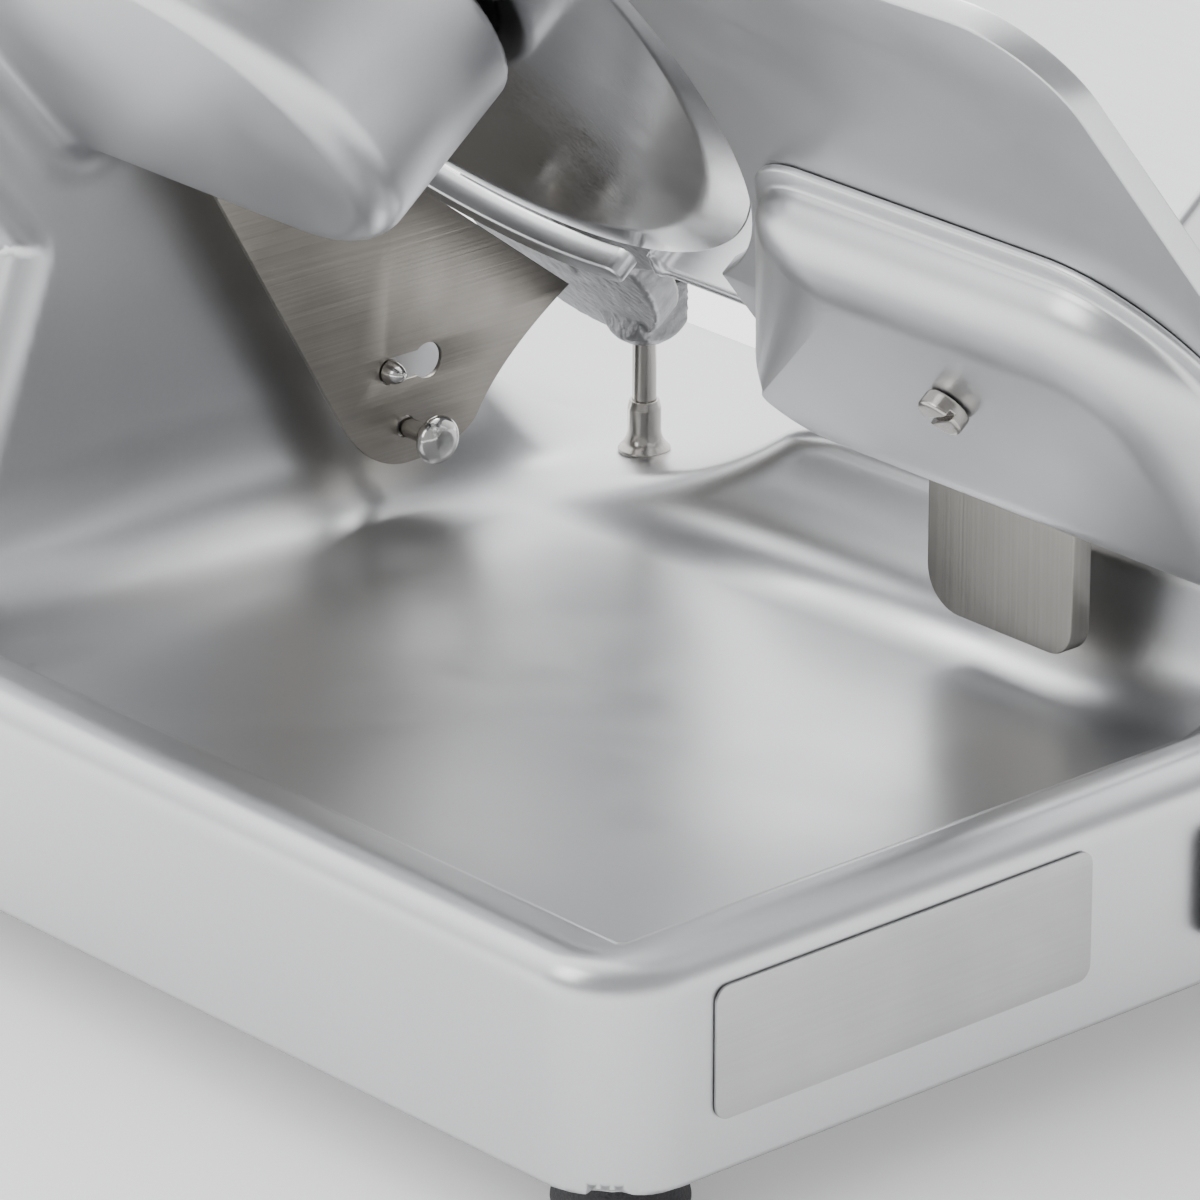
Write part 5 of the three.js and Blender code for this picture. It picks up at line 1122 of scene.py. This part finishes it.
# ---- Controls, carriage and feet -------------------------------------------------------------------------
@dataclass
class Controls:
    """Index knob with its dial, the two buttons on their plate and the nameplate."""

    knob: tuple[float, float] = (334.5, -24.0)
    button_z: float = -30.0
    buttons: tuple[tuple[str, float, str], ...] = (("start", 232.0, "green"), ("stop", 272.0, "red"))
    marks: int = 31

    def dial_ticks(self) -> tuple[Array, Array]:
        """Raised marks on the dial: short boxes repeated around it, every fifth one longer."""
        order = np.arange(self.marks)
        angle = np.radians(120 - order * 8.0)
        long = (order % 5 == 0).astype(float)
        unit = np.array([[-1, -1, -1], [1, -1, -1], [1, 1, -1], [-1, 1, -1],
                         [-1, -1, 1], [1, -1, 1], [1, 1, 1], [-1, 1, 1]])
        radial = 34.6 - 0.9 * long
        half = np.stack([1.3 + 0.9 * long, np.full(self.marks, 0.25), np.full(self.marks, 0.15)], -1)
        middle = np.stack([radial, 0 * radial, np.full(self.marks, 3.14)], -1)
        x, y, z = np.moveaxis(unit[None] * half[:, None, :] + middle[:, None, :], -1, 0)
        c, s = np.cos(angle)[:, None], np.sin(angle)[:, None]
        points = np.stack([x * c - y * s, x * s + y * c, z], -1)
        box = np.array([[3, 2, 1, 0], [4, 5, 6, 7], [0, 1, 5, 4], [1, 2, 6, 5], [2, 3, 7, 6], [3, 0, 4, 7]])
        faces = (order[:, None, None] * 8 + box[None]).reshape(-1, 4)
        return points.reshape(-1, 3), faces

    def build(self, shop: Workshop) -> None:
        """Makes everything on the front of the base."""
        x, z = self.knob
        place = front_frame(BASE_FRONT, x, z)
        hole = arc(0, 0, 8, 0, 350, 36)
        piece = plate("dial_ring", [arc(0, 0, 37, 0, 356, 90), hole], GAP, 3.0, 0.5, place, shop)
        shop.mount(piece, "base", "brushed_steel", "brushed_plate", "index_dial")
        points, faces = self.dial_ticks()
        piece = shop.mesh("dial_marks", place.lift(points), faces)
        shop.mount(piece, "base", *BLACK)
        knob = rounded_profile([(0, 3.6), (28.8, 3.6, 0.8), (28.2, 26, 6), (20, 30, 4), (12, 28.6, 3), (0, 28.4)], 8)
        shop.lathe("index_grip", knob, place, 144, "index", *BLACK, "index_knob", lobes=9, depth=0.045)
        outline = rounded([(214, -48, 6), (290, -48, 6), (290, -12, 6), (214, -12, 6)])
        holes = [arc(cx, self.button_z, 9.6, 0, 350, 36) for _, cx, _ in self.buttons]
        piece = plate("switch_bezel", [outline, *holes], GAP, 7.3, 1.2, front_frame(BASE_FRONT), shop)
        shop.mount(piece, "base", *BLACK, "switch_plate")
        cap = rounded_profile([(0, 3.6), (9, 3.6), (9, 11.4, 1.6), (6.4, 11.2, 1.4), (0, 10.4)], 7)
        for name, cx, color in self.buttons:
            place = front_frame(BASE_FRONT, cx, self.button_z)
            shop.lathe(f"{name}_cap", cap, place, 56, name, f"{color}_plastic", f"{color}_moulded", f"{name}_button")
        outline = rounded([(16, -45, 5), (166, -45, 5), (166, -3, 5), (16, -3, 5)])
        piece = plate("name_panel", [outline], GAP, 1.3, 0.2, front_frame(BASE_FRONT), shop)
        shop.mount(piece, "base", "brushed_steel", "brushed_plate", "nameplate")


@dataclass
class Carriage:
    """Sliding block on its rail with the brackets, the tilt pin and its knob, and the rubber feet."""

    front: float = -350.0
    back: float = 140.0

    def block(self, x: Array, y: Array, z: Array) -> Array:
        """Block's field: a body round the rail and two cheeks that hold the tilt pin."""
        body = box_field((x, y, z), (394.5, -322, -51), (433, -222, -17), 5.0)
        q = y - ARM_Y
        u, v = x - RAIL_X, z - PIVOT_Z
        shape = np.where(z > PIVOT_Z, round_field(u, v, 14), np.abs(u) - 14)
        shape = np.maximum(shape, RAIL_Z - z)
        cheeks = np.minimum(raised(shape, q, -22.5, -12.5, 1.5), raised(shape, q, 12.5, 22.5, 1.5))
        whole = blend_min(body, cheeks, 6.0)
        whole = np.where((np.abs(q) < 12.5) & (z > -16.9), np.maximum(whole, 12.5 - np.abs(q)), whole)
        return np.maximum(np.maximum(whole, -round_field(u, z - RAIL_Z, 9.3)), -round_field(u, v, 5.3))

    def rail_bracket(self, x: Array, y: Array, z: Array, low: float) -> Array:
        """Bracket's field: a rounded ear on the base's side round the rail's end."""
        u, v = x - RAIL_X, z - RAIL_Z
        plan = np.maximum(np.abs(v) - 16, 393.3 - x)
        end = round_field(np.maximum(u, 0), v, 16)
        ear = raised(np.maximum(plan, end), y, low, low + 16, 2.0)
        return np.maximum(ear, -round_field(u, v, 9.3))

    def build(self, shop: Workshop) -> None:
        """Makes the carriage's lower part and the feet."""
        work = upright_frame(0, 0)
        piece = cast("block_cast", self.block, (394, -322, -51), (433, -222, 45), 1.5, work, shop)
        shop.mount(piece, "carriage", *CAST, "carriage_block")
        for name, low in (("front", self.front + 3), ("back", self.back - 19)):
            field = lambda x, y, z, a=low: self.rail_bracket(x, y, z, a)
            piece = cast(f"bracket_{name}_cast", field, (393, low, -50), (430, low + 16, -18), 1.2, work, shop)
            shop.mount(piece, "base", *CAST, f"rail_bracket_{name}")
        rail = rounded_profile([(0, self.front), (9, self.front, 0.8), (9, self.back, 0.8), (0, self.back)])
        points, faces = turned(rail, 48)
        place = front_frame(0, RAIL_X, RAIL_Z)
        points[:, 2] *= -1
        piece = shop.mesh("rail_rod", place.lift(points), [row[::-1] for row in faces])
        shop.mount(piece, "base", *POLISHED, "carriage_rail")
        knob = rounded_profile([(0, 0), (16.9, 0, 0.8), (17.2, 14.6, 3), (7, 16, 1), (0, 15.4)], 7)
        place = front_frame(ARM_Y - 23, RAIL_X, PIVOT_Z)
        shop.lathe("clamp_knob", knob, place, 112, "tilt_clamp", *BLACK, "tilt_knob", lobes=7, depth=0.045)
        foot = rounded_profile([(0, -88), (18, -88, 1.2), (21, -85, 2), (17, -63.3, 0.6), (0, -63.3)], 7)
        for side, x in (("left", 18), ("right", 351)):
            for end, y in (("front", -316), ("back", 108)):
                shop.lathe(f"rubber_{end}_{side}", foot, upright_frame(x, y), 64, "base", "grey_rubber",
                           "moulded_rubber", f"foot_{end}_{side}")


# ---- Studio ----------------------------------------------------------------------------------------------
@dataclass
class Studio:
    """Camera, pale floor and soft lights."""

    origin: Array
    azimuth: float = math.radians(-41.5)
    elevation: float = math.radians(22.0)
    lens: float = 249.0
    offset: tuple[float, float, float] = (-1.4284, -1.9418, 0.9818)
    bright_way: tuple[float, float, float] = (0.405, 0.76, 0.507)
    dim: float = 0.6
    bright: float = 2.9
    floor_glow: float = 0.25

    def camera(self) -> None:
        """Places the camera at the front left, looking down on the receiving tray."""
        data = bpy.data.cameras.new("camera")
        data.lens = self.lens
        data.sensor_width = 36.0
        data.clip_end = 100.0
        camera = bpy.data.objects.new("camera", data)
        flat = math.cos(self.elevation)
        back = Vector((math.sin(self.azimuth) * flat, -math.cos(self.azimuth) * flat, math.sin(self.elevation)))
        right = (-back).cross(Vector((0, 0, 1))).normalized()
        up = right.cross(-back)
        turn = Matrix((right, up, back)).transposed().to_4x4()
        camera.matrix_world = Matrix.Translation(Vector(self.origin) + Vector(self.offset)) @ turn
        bpy.context.scene.collection.objects.link(camera)
        bpy.context.scene.camera = camera

    def light(self, name: str, place: Sequence[float], aim: Sequence[float], size: Sequence[float],
              power: float) -> None:
        """Adds one rectangular soft light."""
        data = bpy.data.lights.new(name, "AREA")
        data.shape = "RECTANGLE"
        data.size, data.size_y = size
        data.energy = power
        lamp = bpy.data.objects.new(name, data)
        way = Vector(aim) - Vector(place)
        lamp.matrix_world = Matrix.Translation(Vector(place)) @ way.to_track_quat("-Z", "Y").to_matrix().to_4x4()
        bpy.context.scene.collection.objects.link(lamp)

    def floor(self) -> None:
        """Adds a large pale floor."""
        half = 30.0
        data = bpy.data.meshes.new("floor")
        data.from_pydata([(-half, -half, 0), (half, -half, 0), (half, half, 0), (-half, half, 0)], [], [(0, 1, 2, 3)])
        floor = bpy.data.objects.new("floor", data)
        bpy.context.scene.collection.objects.link(floor)
        material = bpy.data.materials.new("pale_floor")
        material.use_nodes = True
        shader = material.node_tree.nodes["Principled BSDF"]
        shader.inputs["Base Color"].default_value = (0.93, 0.93, 0.93, 1)
        shader.inputs["Roughness"].default_value = 0.9
        shader.inputs["Emission Color"].default_value = (1, 1, 1, 1)
        shader.inputs["Emission Strength"].default_value = self.floor_glow
        data.materials.append(material)

    def world(self) -> None:
        """Soft white surroundings, brightest overhead and behind.

        The strength is dim + (bright - dim) smoothstep(direction . bright_way).
        """
        world = bpy.data.worlds.new("studio")
        bpy.context.scene.world = world
        world.use_nodes = True
        tree = world.node_tree
        place = tree.nodes.new("ShaderNodeTexCoord")
        along = tree.nodes.new("ShaderNodeVectorMath")
        along.operation = "DOT_PRODUCT"
        along.inputs[1].default_value = self.bright_way
        spread = tree.nodes.new("ShaderNodeMapRange")
        spread.interpolation_type = "SMOOTHSTEP"
        spread.inputs["From Min"].default_value = -0.25
        spread.inputs["From Max"].default_value = 0.9
        spread.inputs["To Min"].default_value = self.dim
        spread.inputs["To Max"].default_value = self.bright
        tree.links.new(place.outputs["Generated"], along.inputs[0])
        tree.links.new(along.outputs["Value"], spread.inputs["Value"])
        background = tree.nodes["Background"]
        background.inputs["Color"].default_value = (0.985, 0.99, 1.0, 1)
        tree.links.new(spread.outputs[0], background.inputs["Strength"])

    def build(self) -> None:
        """Sets the whole studio."""
        self.camera()
        self.floor()
        self.world()
        self.light("key", (0.9, 1.2, 2.4), (0, 0, 0.1), (1.5, 1.5), 55)
        self.light("side", (-2.2, 0.4, 1.6), (0, 0, 0.15), (1.2, 1.6), 20)


def dress_frame(frame: dict, finishes: dict[str, bpy.types.Material]) -> None:
    """Gives every CAD node the finish of its slot, before any piece replaces it."""
    slots = {row["node"]: row["material_slot"] for row in frame["record"]["subparts"]}
    for name, node in frame["nodes"].items():
        finish = finishes[SLOT_FINISH[slots[name]]]
        node.data.materials.clear()
        node.data.materials.append(finish)


def main() -> None:
    """Builds the slicer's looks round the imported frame, in order."""
    logging.basicConfig(level=logging.INFO, format="%(name)s: %(message)s")
    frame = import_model()
    low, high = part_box("base_casting")
    origin = np.array([high.x - BASE_RIGHT * MM, low.y - BASE_FRONT * MM, low.z - BASE_LOW * MM])
    Studio(origin).build()
    finishes = {finish.name: finish.make() for finish in FINISHES}
    dress_frame(frame, finishes)
    shop = Workshop(origin, finishes)
    for assembly in (BaseCasting(), Deflector(), Gauge(), ProductTray(), KnifeHead(), Controls(), Carriage()):
        assembly.build(shop)


if __name__ == "__main__":
    main()
